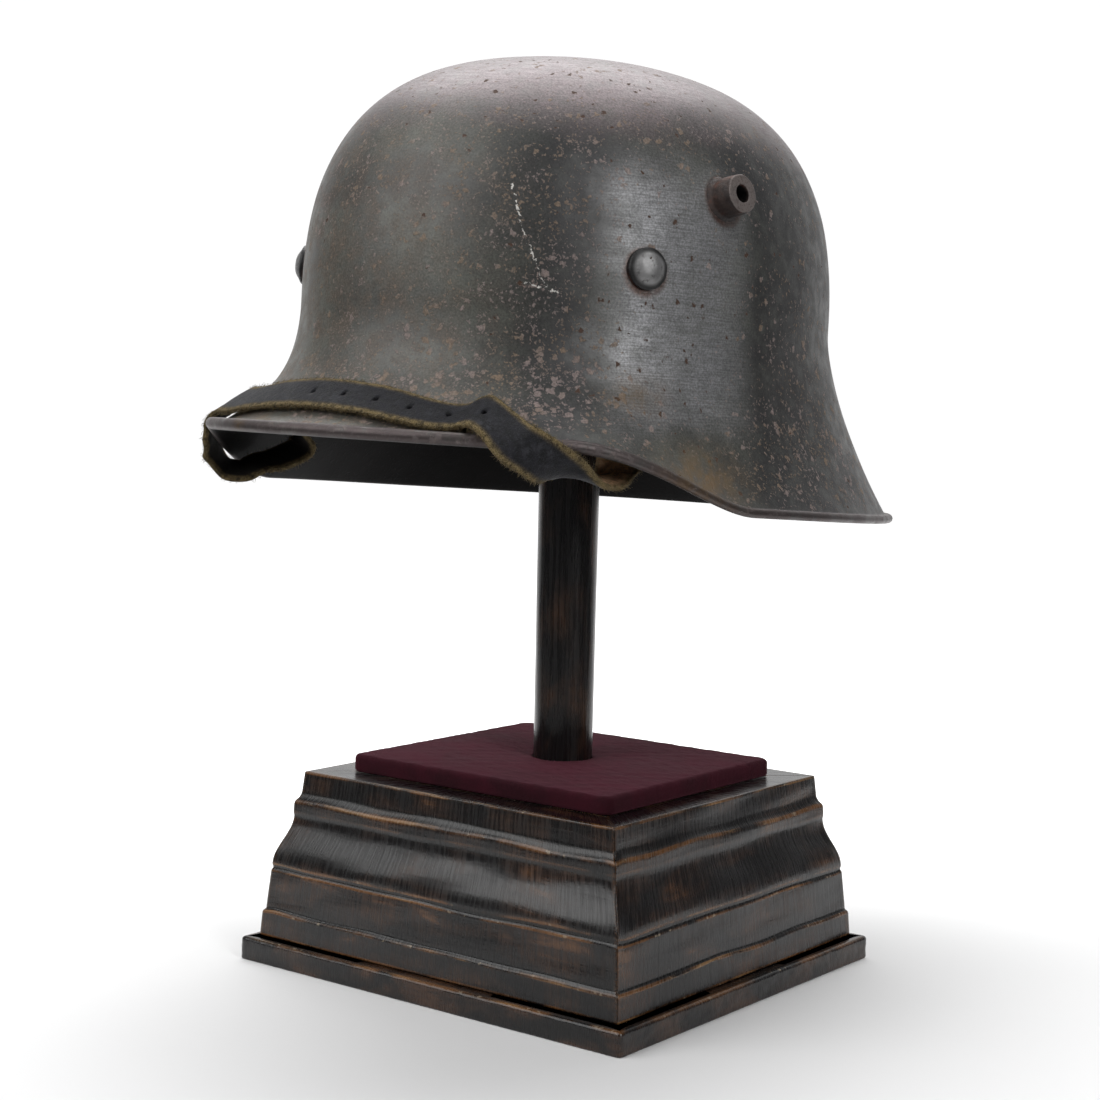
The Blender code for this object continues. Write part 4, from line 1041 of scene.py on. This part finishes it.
def strapMesh():
    # section: a flat rounded bar, |x/a|^n + |z/b|^m = 1 in outline, carried along the route.
    # The edges waver, and both faces ripple a little
    angle = np.linspace(0.0, 2.0 * np.pi, p["sections"], endpoint=False)
    x = np.sign(np.cos(angle)) * np.abs(np.cos(angle)) ** 0.50
    z = np.sign(np.sin(angle)) * np.abs(np.sin(angle)) ** 0.42
    halfWidth = p["width"] / 2.0
    along = even[:, None]
    waver = p["wave"] * (wander(along / 21.0, np.sign(x)[None, :] * 3.0, 41) + 0.4
                         * wander(along / 4.2, np.sign(x)[None, :] * 5.0, 42)) * np.abs(x)[None, :] ** 4
    cross = x[None, :] * halfWidth + waver * np.sign(x)[None, :] * 0.6
    ripple = 0.10 * wander(along / 9.0, cross / 9.0, 43) + 0.05 * wander(along / 2.8, cross / 2.8, 44)
    cup = -0.28 * (1.0 - x ** 2)[None, :]
    thick = z[None, :] * p["thickness"] / 2.0 * (1.0 - 0.10 * np.abs(x)[None, :] ** 6) + ripple + cup * 0.5
    dimple = np.zeros_like(cross)
    for i in range(p["holes"]):
        place = strapMiddle + p["firstHole"] + i * p["holePitch"]
        gap = np.hypot(along - place, cross)
        dimple += bump(gap, 0.0, 2.1)
    thick = thick - 0.30 * dimple * np.sign(z)[None, :] * (np.abs(z)[None, :] > 0.4)
    points = path[:, None] + width[:, None] * cross[..., None] + face[:, None] * thick[..., None]
    side = ease(np.abs(x), 0.66, 0.90)[None, :] + 0.0 * along
    suede = ease(-z, 0.15, 0.6)[None, :] + 0.0 * along
    # brown is 1 towards the helmet's left end, where the suede shows its brown; elsewhere the suede is
    # painted near black as shade
    brown = ease(along, strapMiddle + 30.0, strapMiddle + 62.0) + 0.0 * side
    uvAcross = np.append(angle, 2.0 * np.pi) / (2.0 * np.pi) * 0.037
    uv = together(uvAcross[None, :], along * mm)
    values = {"side": side, "suede": suede, "brown": brown, "hole": np.clip(dimple, 0.0, 1.0)}
    return gridMesh("leather_strap", seatHelmet(points), uv, values)


strapLook = {
    "black": (0.0045, 0.0047, 0.0056), "blue": (0.0150, 0.0150, 0.0190), "scuff": (0.048, 0.049, 0.055),
    "olive": (0.085, 0.064, 0.028), "tan": (0.215, 0.160, 0.080), "suede": (0.640, 0.400, 0.225),
    # the near-black suede is painted shade
    "darkSuede": (0.340, 0.210, 0.120), "shadedSuede": (0.016, 0.014, 0.013),
}


def strapFinish():
    look = strapLook
    m = Finish("scuffed_strap_leather", Specular_IOR_Level=0.20)
    side, suede, hole = m.value("side"), m.value("suede"), m.value("hole")
    broad = m.noise(m.place, 75.0, 4.0, 0.6)
    middle = m.noise(m.place, 420.0, 5.0, 0.7)
    fine = m.noise(m.place, 2300.0, 3.0, 0.6)
    colour = m.mix(m.span(middle, 0.36, 0.62), look["black"], look["blue"])
    scuff = m.times(m.span(broad, 0.50, 0.66), m.span(middle, 0.44, 0.60))
    colour = m.mix(m.times(scuff, 0.60), colour, look["scuff"])
    colour = m.mix(m.times(m.span(fine, 0.50, 0.66), 0.38), colour, look["scuff"])
    pile = m.mix(m.span(fine, 0.34, 0.64), look["olive"], look["tan"])
    nap = m.mix(m.span(middle, 0.36, 0.62), look["darkSuede"], look["suede"])
    # suede painted near black as shade except where brown
    nap = m.mix(m.value("brown"), look["shadedSuede"], nap)
    colour = m.mix(suede, colour, nap)
    colour = m.mix(m.times(side, m.span(middle, 0.36, 0.56, 0.30, 1.0)), colour, pile)
    colour = m.mix(m.span(hole, 0.55, 0.90), colour, (0.004, 0.004, 0.004))
    rough = m.blend(m.most(side, suede), m.span(middle, 0.3, 0.7, 0.55, 0.72), 0.95)
    height = m.plus(middle, m.times(fine, 0.5))
    m.set(Base_Color=colour, Roughness=rough, Normal=m.relief(height, 0.00055, 0.95))
    return m.material


strap = addPiece(strapMesh(), strapFinish(), ["chin_strap"])
places = strapMiddle + p["firstHole"] + np.arange(p["holes"]) * p["holePitch"]
holeAt = lineAt(places, even, path)
holeAlong = unit(lineAt(places, even, face))
holeEnds = [seatHelmet(holeAt + reach * holeAlong) for reach in (-3.0, 3.0)]
cutAway(strap, rods("strap_holes", *holeEnds, 0.85 * p["holeRadius"] * mm, 14))

fibreLook = {"count": 7400, "long": 1.35, "thick": 0.070, "colour": (0.120, 0.092, 0.045),
             "pale": (0.260, 0.210, 0.120)}


def fibreMesh():
    # short bent hairs from both cut edges: each is a three-sided taper through three points
    draw = np.random.default_rng(5)
    count = fibreLook["count"]
    row = draw.integers(4, len(even) - 4, count)
    edgeSide = np.where(draw.random(count) < 0.5, 1.0, -1.0)
    lift = draw.uniform(-0.42, 0.42, count) * p["thickness"]
    reach = edgeSide * (p["width"] / 2.0 - 0.35)
    root = path[row] + width[row] * reach[:, None] + face[row] * lift[:, None]
    ahead = np.cross(width[row], face[row])
    lean = unit(width[row] * edgeSide[:, None] + ahead * draw.normal(0.0, 0.75, (count, 1))
                + face[row] * draw.normal(0.0, 0.55, (count, 1)))
    bend = unit(lean + draw.normal(0.0, 0.75, (count, 3)))
    long = fibreLook["long"] * draw.uniform(0.45, 1.5, count)[:, None]
    middle = root + lean * long * 0.6
    tip = middle + bend * long * 0.6
    across = unit(np.cross(lean, draw.normal(0.0, 1.0, (count, 3))))
    other = np.cross(lean, across)
    turnAngle = np.arange(3) * 2.0 * np.pi / 3.0
    ring = across[:, None] * np.cos(turnAngle)[:, None] + other[:, None] * np.sin(turnAngle)[:, None]
    thick = fibreLook["thick"] * draw.uniform(0.6, 1.3, count)[:, None, None]
    points = np.concatenate([root[:, None] + ring * thick, middle[:, None] + ring * thick * 0.7,
                             tip[:, None]], axis=1)
    k = np.arange(3)
    n = (k + 1) % 3
    base = np.arange(count)[:, None, None] * 7
    walls = (base + np.stack([k, n, n + 3, k + 3], -1)[None]).reshape(-1, 4)
    tips = (base + np.stack([k + 3, n + 3, np.full(3, 6)], -1)[None]).reshape(-1, 3)
    roots = base[:, 0] + np.array([2, 1, 0])
    pale = np.repeat(draw.random(count), 7)
    return meshFromFaces("strap_fibres", seatHelmet(points.reshape(-1, 3)),
                         [walls, np.vstack([tips, roots])], None, {"pale": pale})


def fibreFinish():
    m = Finish("leather_fibre", Roughness=0.95)
    m.set(Base_Color=m.mix(m.span(m.value("pale"), 0.5, 1.0), fibreLook["colour"], fibreLook["pale"]))
    return m.material


addPiece(fibreMesh(), fibreFinish())
print("strap finished")


# Display stand, in metres

standShape = {
    "flare": 11.6 * mm, "stock": 14.0 * mm, "gap": 0.3 * mm, "soft": 0.55 * mm, "spacing": 0.5 * mm,
    "lengthRows": 230, "lump": 0.16 * mm, "edgeWave": 0.50 * mm,
    # outer profile, as shares of the height down and of the flare out
    "top": [(0.000, 0.00), (0.135, 0.07), (0.160, 0.13), (0.180, 0.23), (0.200, 0.25), (0.252, 0.26),
            (0.262, 0.24)],
    "ogeeEnd": (0.570, 0.74),
    "foot": [(0.585, 0.70), (0.600, 0.76), (0.825, 0.86), (0.835, 0.85), (0.850, 0.95), (1.000, 1.00)],
}
g = standShape
mouldingLow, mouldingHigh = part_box("moulding_front")
mouldingTop, mouldingBase = mouldingHigh[2], mouldingLow[2]
mouldingTall = mouldingTop - mouldingBase


def mouldingOutline():
    # closed loop (out, height): flat top, ogee face, underside and back, with its corners eased
    ogee = [(g["top"][-1][0] + (g["ogeeEnd"][0] - g["top"][-1][0]) * t,
             g["top"][-1][1] + (g["ogeeEnd"][1] - g["top"][-1][1]) * (1.0 - np.cos(np.pi * t)) / 2.0)
            for t in np.linspace(0.0, 1.0, 25)[1:]]
    shares = np.array(g["top"] + ogee + g["foot"])
    front = np.stack([shares[:, 1] * g["flare"], mouldingTop - shares[:, 0] * mouldingTall], -1)
    corners = np.vstack([[(-g["stock"], mouldingTop)], front, [(-g["stock"], mouldingBase)],
                         [(-g["stock"], mouldingTop)]])
    run = runLength(corners)
    even = np.linspace(0.0, run[-1], int(run[-1] / g["spacing"]), endpoint=False)
    line = lineAt(even, run, corners)
    reach = 5
    eased = softened(np.vstack([line[-reach:], line, line[:reach]]), reach, g["spacing"], g["soft"])
    # turning of the outline: positive where it is a ridge, negative in a quirk
    ahead = np.roll(eased, -2, axis=0) - eased
    behind = eased - np.roll(eased, 2, axis=0)
    bend = ahead[:, 0] * behind[:, 1] - ahead[:, 1] * behind[:, 0]
    bend /= np.linalg.norm(ahead, axis=1) * np.linalg.norm(behind, axis=1)
    return even, eased, bend


mouldingRun, mouldingLine, mouldingBend = mouldingOutline()


def mouldingMesh(name, node, turnAngle, seed):
    # the outline carried along one side, cut to 45 degrees at each end by lengthening with out
    low, high = boxOf(node)
    along = (high - low)[:2]
    flat = turnAngle % 180 == 0
    # the node's own box gives its length and how far its foot stands from the middle
    outer = {0: -low[1], 90: high[0], 180: high[1], 270: -low[0]}[turnAngle]
    length = (along[0] if flat else along[1]) - 2.0 * g["flare"]
    reach = outer - g["flare"]
    share = np.linspace(-1.0, 1.0, g["lengthRows"])[:, None]
    out, height = mouldingLine[None, :, 0], mouldingLine[None, :, 1]
    half = length / 2.0 + out
    x = share * half
    fade = ease(1.0 - np.abs(share), 0.0, 0.07)
    faceOnly = ease(out, -2.0 * mm, 0.0)
    lump = g["lump"] * wander(x / 0.090, height / 0.022, seed) * fade * faceOnly
    inFace = ease(height, mouldingBase + 1.0 * mm, mouldingBase + 6.0 * mm) \
        * (1.0 - ease(height, mouldingTop - 5.0 * mm, mouldingTop - 1.0 * mm))
    wave = g["edgeWave"] * wander(x / 0.060, height / 0.016, seed + 2) * fade * inFace * faceOnly
    points = together(x, -reach - out - lump, height + wave)
    angle = np.radians(turnAngle)
    spin = np.array([[np.cos(angle), -np.sin(angle), 0.0], [np.sin(angle), np.cos(angle), 0.0],
                     [0.0, 0.0, 1.0]])
    points = points @ spin.T
    points[..., :2] += sum(boxOf("deck"))[:2] / 2.0
    bend = mouldingBend[None, :] + 0.0 * share
    ends = 1.0 - ease(1.0 - np.abs(share), 0.0, 0.022)
    values = {"ridge": np.clip(bend * 1.6, 0.0, 1.0), "quirk": np.clip(-bend * 1.6, 0.0, 1.0),
              "mitre": ends + 0.0 * out}
    uvRun = np.append(mouldingRun, mouldingRun[-1] + g["spacing"])
    uvAlong = share * length / 2.0 + 0.37 * seed
    uv = together(uvAlong, uvRun[None, :])
    return gridMesh(name, points, uv, values, "caps")


woodLook = {
    "black": (0.0050, 0.0042, 0.0042), "brown": (0.046, 0.022, 0.012), "amber": (0.150, 0.066, 0.022),
    # the near black for the quirks is painted shade in the creases
    "gold": (0.250, 0.140, 0.058), "pale": (0.300, 0.240, 0.170), "creaseShade": (0.002, 0.002, 0.002),
    "specular": 0.50, "roughness": (0.20, 0.34),
}


def woodFinish(name, amber, streak, ridges=True, brushing=(900.0, 45.0)):
    # near-black stain over brown wood: clouds stretched along the grain, brush streaks, worn ridges, and
    # painted shade in the quirks
    look = woodLook
    m = Finish(name, Specular_IOR_Level=look["specular"])
    grain = m.noise(m.stretch(m.uv, 26.0, 210.0), 1.0, 5.0, 0.62, 0.6)
    cloud = m.noise(m.stretch(m.uv, 34.0, 60.0), 1.0, 4.0, 0.6, 0.4)
    brush = m.noise(m.stretch(m.uv, *brushing), 1.0, 3.0, 0.6)
    fine = m.noise(m.place, 1500.0, 3.0, 0.6)
    brown = m.times(m.span(cloud, 0.42, 0.66), m.span(grain, 0.34, 0.62, 0.35, 1.0),
                    m.span(brush, 0.30, 0.64, 1.0 - streak, 1.0))
    colour = m.mix(brown, look["black"], look["brown"])
    glow = m.times(m.span(cloud, 0.56, 0.74), m.span(grain, 0.45, 0.64), m.span(fine, 0.34, 0.60, 0.4, 1.0))
    colour = m.mix(m.times(glow, amber), colour, look["amber"])
    height = m.plus(m.times(grain, 0.5), m.times(brush, 0.35 * streak + 0.05))
    if ridges:
        ridge, quirk = m.value("ridge"), m.value("quirk")
        rubbed = m.times(m.span(ridge, 0.10, 0.45), m.span(cloud, 0.40, 0.62))
        colour = m.mix(m.times(rubbed, 0.75), colour, look["amber"])
        bright = m.times(m.span(ridge, 0.22, 0.60), m.span(grain, 0.50, 0.66))
        colour = m.mix(m.times(bright, 0.8), colour, look["gold"])
        chips = m.times(m.span(ridge, 0.20, 0.50), m.span(m.noise(m.place, 300.0), 0.62, 0.70))
        colour = m.mix(m.times(chips, 0.6), colour, look["pale"])
        # quirks painted near black as shade in the creases
        colour = m.mix(m.times(m.span(quirk, 0.08, 0.35), 0.9), colour, look["creaseShade"])
        worn = m.times(m.value("mitre"), m.span(fine, 0.42, 0.62))
        colour = m.mix(m.times(worn, 0.35), colour, look["amber"])
    m.set(Base_Color=colour, Roughness=m.span(brush, 0.3, 0.7, *look["roughness"]),
          Normal=m.relief(m.plus(height, m.times(fine, 0.12)), 0.00035, 0.7))
    return m.material


mouldingWood = woodFinish("stained_moulding", 0.75, 0.8)
for seed, (key, angle) in enumerate((("front", 0), ("left", 90), ("rear", 180), ("right", 270))):
    mesh = mouldingMesh("ogee_" + key, "moulding_" + key, angle, 50 + 5 * seed)
    addPiece(mesh, mouldingWood, ["moulding_" + key])
print("mouldings finished")

plinthLook = {"edge": 1.6 * mm, "corner": 1.6 * mm, "wear": 0.22 * mm, "columns": 560}


def roundedRectangle(width, depth, corner, columns):
    # points at even steps round a rectangle with rounded corners, and their outward directions
    halfX, halfY = width / 2.0 - corner, depth / 2.0 - corner
    quarter = np.linspace(0.0, np.pi / 2.0, 9)
    outline = np.concatenate([np.stack([sx * halfX + corner * np.cos(a0 + quarter),
                                        sy * halfY + corner * np.sin(a0 + quarter)], -1)
                              for sx, sy, a0 in ((1, 1, 0.0), (-1, 1, np.pi / 2), (-1, -1, np.pi),
                                                 (1, -1, 1.5 * np.pi))])
    outline = np.vstack([outline, outline[:1]])
    run = runLength(outline)
    even = np.linspace(0.0, run[-1], columns, endpoint=False)
    line = lineAt(even, run, outline)
    ahead = np.roll(line, -1, axis=0) - np.roll(line, 1, axis=0)
    return even, line, unit(np.stack([ahead[:, 1], -ahead[:, 0]], -1))


def plinthMesh():
    # section from the underside over the rounded edges to the flat top, carried round the board
    low, high = boxOf("plinth_board")
    even, line, out = roundedRectangle(high[0] - low[0], high[1] - low[1], plinthLook["corner"],
                                       plinthLook["columns"])
    line = line + (low + high)[:2] / 2.0
    tall, edge = high[2] - low[2], plinthLook["edge"]
    quarter = np.linspace(0.0, np.pi / 2.0, 8)
    foot = [(-0.060, 0.0), (-0.030, 0.0), (-0.012, 0.0)] + \
        [(-0.5 * edge * (1.0 - np.sin(a)), 0.5 * edge * (1.0 - np.cos(a))) for a in quarter]
    side = [(0.0, h) for h in np.linspace(0.5 * edge, tall - edge, 9)[1:]]
    top = [(-edge * (1.0 - np.cos(a)), tall - edge * (1.0 - np.sin(a))) for a in quarter[1:]]
    flat = [(-d, tall) for d in (0.0022, 0.0030, 0.0045, 0.0065, 0.009, 0.012, 0.030, 0.060)]
    section = np.array(foot + side + top + flat)
    inset, height = section[:, :1], section[:, 1:]
    wear = plinthLook["wear"] * (wander(even[None, :] / 0.040, height / 0.012, 71)
                                 + 0.5 * wander(even[None, :] / 0.008, height / 0.006, 72))
    onEdge = ease(inset, -0.010, -0.001) * ease(height, 0.3 * mm, 2.0 * mm)
    nick = np.clip(wander(even[None, :] / 0.0060, height / 0.007, 73, 9) - 1.15, 0.0, 1.0) * 1.1 * mm \
        * ease(height, tall - 3.0 * mm, tall - 1.0 * mm)
    shift = inset - np.abs(wear) * onEdge - nick * onEdge
    points = np.concatenate([line[None] + out[None] * shift[..., None],
                             np.broadcast_to(height[..., None] + low[2], (*shift.shape, 1))], axis=-1)
    ridge = bump(np.arange(len(section))[:, None], len(foot) + len(side) + 4, 3.2) + 0.0 * shift
    uv = together(np.append(even, even[-1] + even[1])[None, :], runLength(section)[:, None])
    values = {"ridge": ridge * 0.5, "quirk": 0.0 * shift, "mitre": 0.0 * shift}
    return gridMesh("foot_board", points, uv, values)


addPiece(plinthMesh(), woodFinish("black_plinth", 0.25, 0.2), ["plinth_board"])

postLook = {"sides": 120, "rows": 220, "facet": 0.16 * mm, "bottomRadius": 11.8 * mm, "bottom": 81.5 * mm}


def postMesh():
    # round taper from the bottom radius to the top one, less slow facets
    low, high = boxOf("post")
    middle = (low + high) / 2.0
    bottomRadius = postLook["bottomRadius"]
    topRadius = (high[0] - low[0]) / 2.0
    height = np.linspace(low[2], high[2], postLook["rows"])[:, None]
    angle = np.linspace(0.0, 2.0 * np.pi, postLook["sides"], endpoint=False)[None, :]
    share = np.clip((height - postLook["bottom"]) / (high[2] - postLook["bottom"]), 0.0, 1.0)
    radius = bottomRadius + (topRadius - bottomRadius) * share
    plane = wander(angle / 1.9, height / 0.30, 81) * postLook["facet"]
    radius = radius - np.abs(plane)
    points = together(middle[0] + radius * np.cos(angle), middle[1] + radius * np.sin(angle), height)
    uv = together(height, np.append(angle, [[2.0 * np.pi]], axis=1) * bottomRadius)
    return gridMesh("turned_post", points, uv)


addPiece(postMesh(), woodFinish("stained_post", 0.35, 0.5, False, (30.0, 700.0)), ["post"])
# the deck and post head keep the model's own meshes, so they only take a finish
for node, stain in (("deck", mouldingWood), ("post_head", bpy.data.materials["stained_post"])):
    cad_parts[node].data.materials.clear()
    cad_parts[node].data.materials.append(stain)

padLook = {"columns": 520, "nap": 0.10 * mm, "crown": 0.35 * mm, "base": (0.044, 0.0060, 0.0125),
           "deep": (0.020, 0.0032, 0.0062), "lint": (0.42, 0.36, 0.34), "sheen": (0.62, 0.20, 0.28)}


def padMesh():
    # ring section carried round a rounded rectangle: from the post's hole over the crowned top,
    # round the edge, down the side and back under
    low, high = boxOf("velvet_pad")
    middle = (low + high) / 2.0
    even, line, out = roundedRectangle(high[0] - low[0], high[1] - low[1], 4.5 * mm, padLook["columns"])
    hole = 12.0 * mm * unit(line)
    tall, edge = high[2] - low[2], 2.0 * mm
    quarter = np.linspace(0.0, np.pi / 2.0, 9)
    inner = [(t, tall) for t in np.linspace(0.0, 1.0, 70)[:-1]]
    rimPart = [(1.0, -edge * (1.0 - np.sin(a)), tall - edge * (1.0 - np.cos(a))) for a in quarter]
    sidePart = [(1.0, 0.0, h) for h in np.linspace(tall - edge, 0.6 * mm, 9)[1:]]
    under = [(1.0, -0.6 * mm, 0.0), (0.6, 0.0, 0.0), (0.0, 0.0, 0.0), (0.0, 0.0, 0.5 * tall)]
    section = np.array([(t, -edge * t, h) for t, h in inner] + rimPart + sidePart + under)
    t, shift, height = (section[:, k][:, None] for k in range(3))
    flat = hole[None] + (line - hole)[None] * t[..., None] + out[None] * shift[..., None]
    onTop = ease(height, tall - 2.5 * mm, tall - 0.2 * mm)
    crown = padLook["crown"] * (np.sin(np.pi * np.clip(t, 0.0, 1.0)) - 1.0) * onTop
    nap = padLook["nap"] * wander(flat[..., 0] / 0.006, flat[..., 1] / 0.006, 91, 12) * onTop
    points = np.concatenate([flat + middle[:2], (height + low[2] + crown + nap)[..., None]], axis=-1)
    uv = together(np.append(even, even[-1] + even[1])[None, :], (np.arange(len(section)) * 0.001)[:, None])
    return gridMesh("velvet_top", points, uv, {"low": 1.0 - ease(height, 0.2 * mm, 3.0 * mm)
                                               + 0.0 * nap}, "ring")


def velvetFinish():
    look = padLook
    m = Finish("burgundy_velvet", Sheen_Weight=0.28, Sheen_Roughness=0.42, Sheen_Tint=look["sheen"],
               Specular_IOR_Level=0.15)
    stroke = m.noise(m.place, 42.0, 4.0, 0.6, 0.5)
    fine = m.noise(m.place, 3200.0, 2.0, 0.6)
    pile = m.noise(m.place, 900.0, 3.0, 0.6)
    colour = m.mix(m.span(stroke, 0.34, 0.66), look["deep"], look["base"])
    colour = m.mix(m.span(fine, 0.35, 0.70, 0.0, 0.45), colour, look["base"])
    lint = m.spots(m.place, 130.0, 0.045, 0.03, 0.075, 0.03)
    colour = m.mix(m.times(lint, 0.8), colour, look["lint"])
    height = m.plus(m.times(pile, 0.6), m.times(fine, 0.6))
    m.set(Base_Color=colour, Roughness=m.span(stroke, 0.3, 0.7, 0.85, 0.98),
          Normal=m.relief(height, 0.0005, 0.9))
    return m.material


pad = addPiece(padMesh(), velvetFinish(), ["velvet_pad"])
print("stand finished")


# Floor, light and air

floorLook = {
    "radius": 2.4, "across": 0.75, "inFront": 0.48, "sides": 96, "colour": (0.84, 0.84, 0.84),
    "roughness": 0.9, "glow": 0.80, "glowFrom": -0.02, "glowTo": 0.34, "near": (0.45, 0.75),
    "narrow": (0.66, 0.86),
}
floorMesh = bpy.data.meshes.new("floor")
around = np.linspace(0.0, 2.0 * np.pi, floorLook["sides"], endpoint=False)
# an oval sheet that runs from a little in front of the stand to far behind it
away = Vector((-back.x, -back.y, 0.0))
disc = np.array([right * (floorLook["across"] * np.cos(a))
                 + away.normalized() * (floorLook["radius"] * (1.0 + np.sin(a)) - floorLook["inFront"])
                 for a in around])
floorMesh.from_pydata(disc.tolist(), [], [list(range(floorLook["sides"]))])
floor = bpy.data.objects.new("floor", floorMesh)
bpy.context.scene.collection.objects.link(floor)
paper = Finish("pale_paper", Base_Color=floorLook["colour"], Roughness=floorLook["roughness"],
               Emission_Color=(1.0, 1.0, 1.0))
# the paper glows behind the stand, as a lit white backdrop does, and fades into the pale air
behind = paper.dot(paper.place, away)
fromStand = paper.add("VectorMath", "Value", {0: paper.place}, operation="LENGTH")
facingAway = paper.math("DIVIDE", behind, fromStand)
narrow = paper.most(paper.near((0.0, 0.0, 0.0), *floorLook["near"]),
                    paper.span(facingAway, *floorLook["narrow"]))
glow = paper.span(behind, floorLook["glowFrom"], floorLook["glowTo"], 0.0, floorLook["glow"])
paper.set(Emission_Strength=paper.times(glow, narrow))
floorMesh.materials.append(paper.material)

# soft boxes: azimuth round the stand, elevation and distance from its middle, width, height, power
lamps = {
    "overhead": (-143.0, 66.0, 1.5, 1.5, 1.5, 24.0),
    "rightStrip": (72.0, 27.0, 1.5, 0.50, 1.3, 11.0),
    "leftBroad": (-24.0, 34.0, 1.7, 1.6, 1.5, 22.0),
}
aimAt = Vector((0.0, 0.0, 0.22))
for name, (azimuth, elevation, distance, wide, tall, power) in lamps.items():
    a, e = np.radians((azimuth, elevation))
    direction = Vector((np.sin(a) * np.cos(e), -np.cos(a) * np.cos(e), np.sin(e)))
    lampData = bpy.data.lights.new(name, "AREA")
    lampData.shape = "RECTANGLE"
    lampData.size, lampData.size_y, lampData.energy = wide, tall, power
    lamp = bpy.data.objects.new(name, lampData)
    bpy.context.scene.collection.objects.link(lamp)
    lamp.location = aimAt + direction * distance
    lamp.rotation_euler = direction.to_track_quat("Z", "Y").to_euler()
    lamp.visible_camera = False

# air: pale behind the helmet as the camera sees it, darker behind the camera
air = {"pale": (1.02, 1.02, 1.02), "dark": (0.07, 0.07, 0.073), "azimuth": -146.0, "from": 0.36, "to": 0.86}
world.use_nodes = True
world.node_tree.nodes.clear()
sky = Nodes(world.node_tree)
paleTurn = np.radians(air["azimuth"])
facing = sky.dot(sky.add("TexCoord", "Generated", {}), (np.sin(paleTurn), -np.cos(paleTurn), 0.0))
tone = sky.mix(sky.span(facing, air["from"], air["to"]), air["dark"], air["pale"])
background = sky.add("Background", "Background", {"Color": tone})
sky.put(sky.tree.nodes.new("ShaderNodeOutputWorld").inputs["Surface"], background)
print("floor and light set")
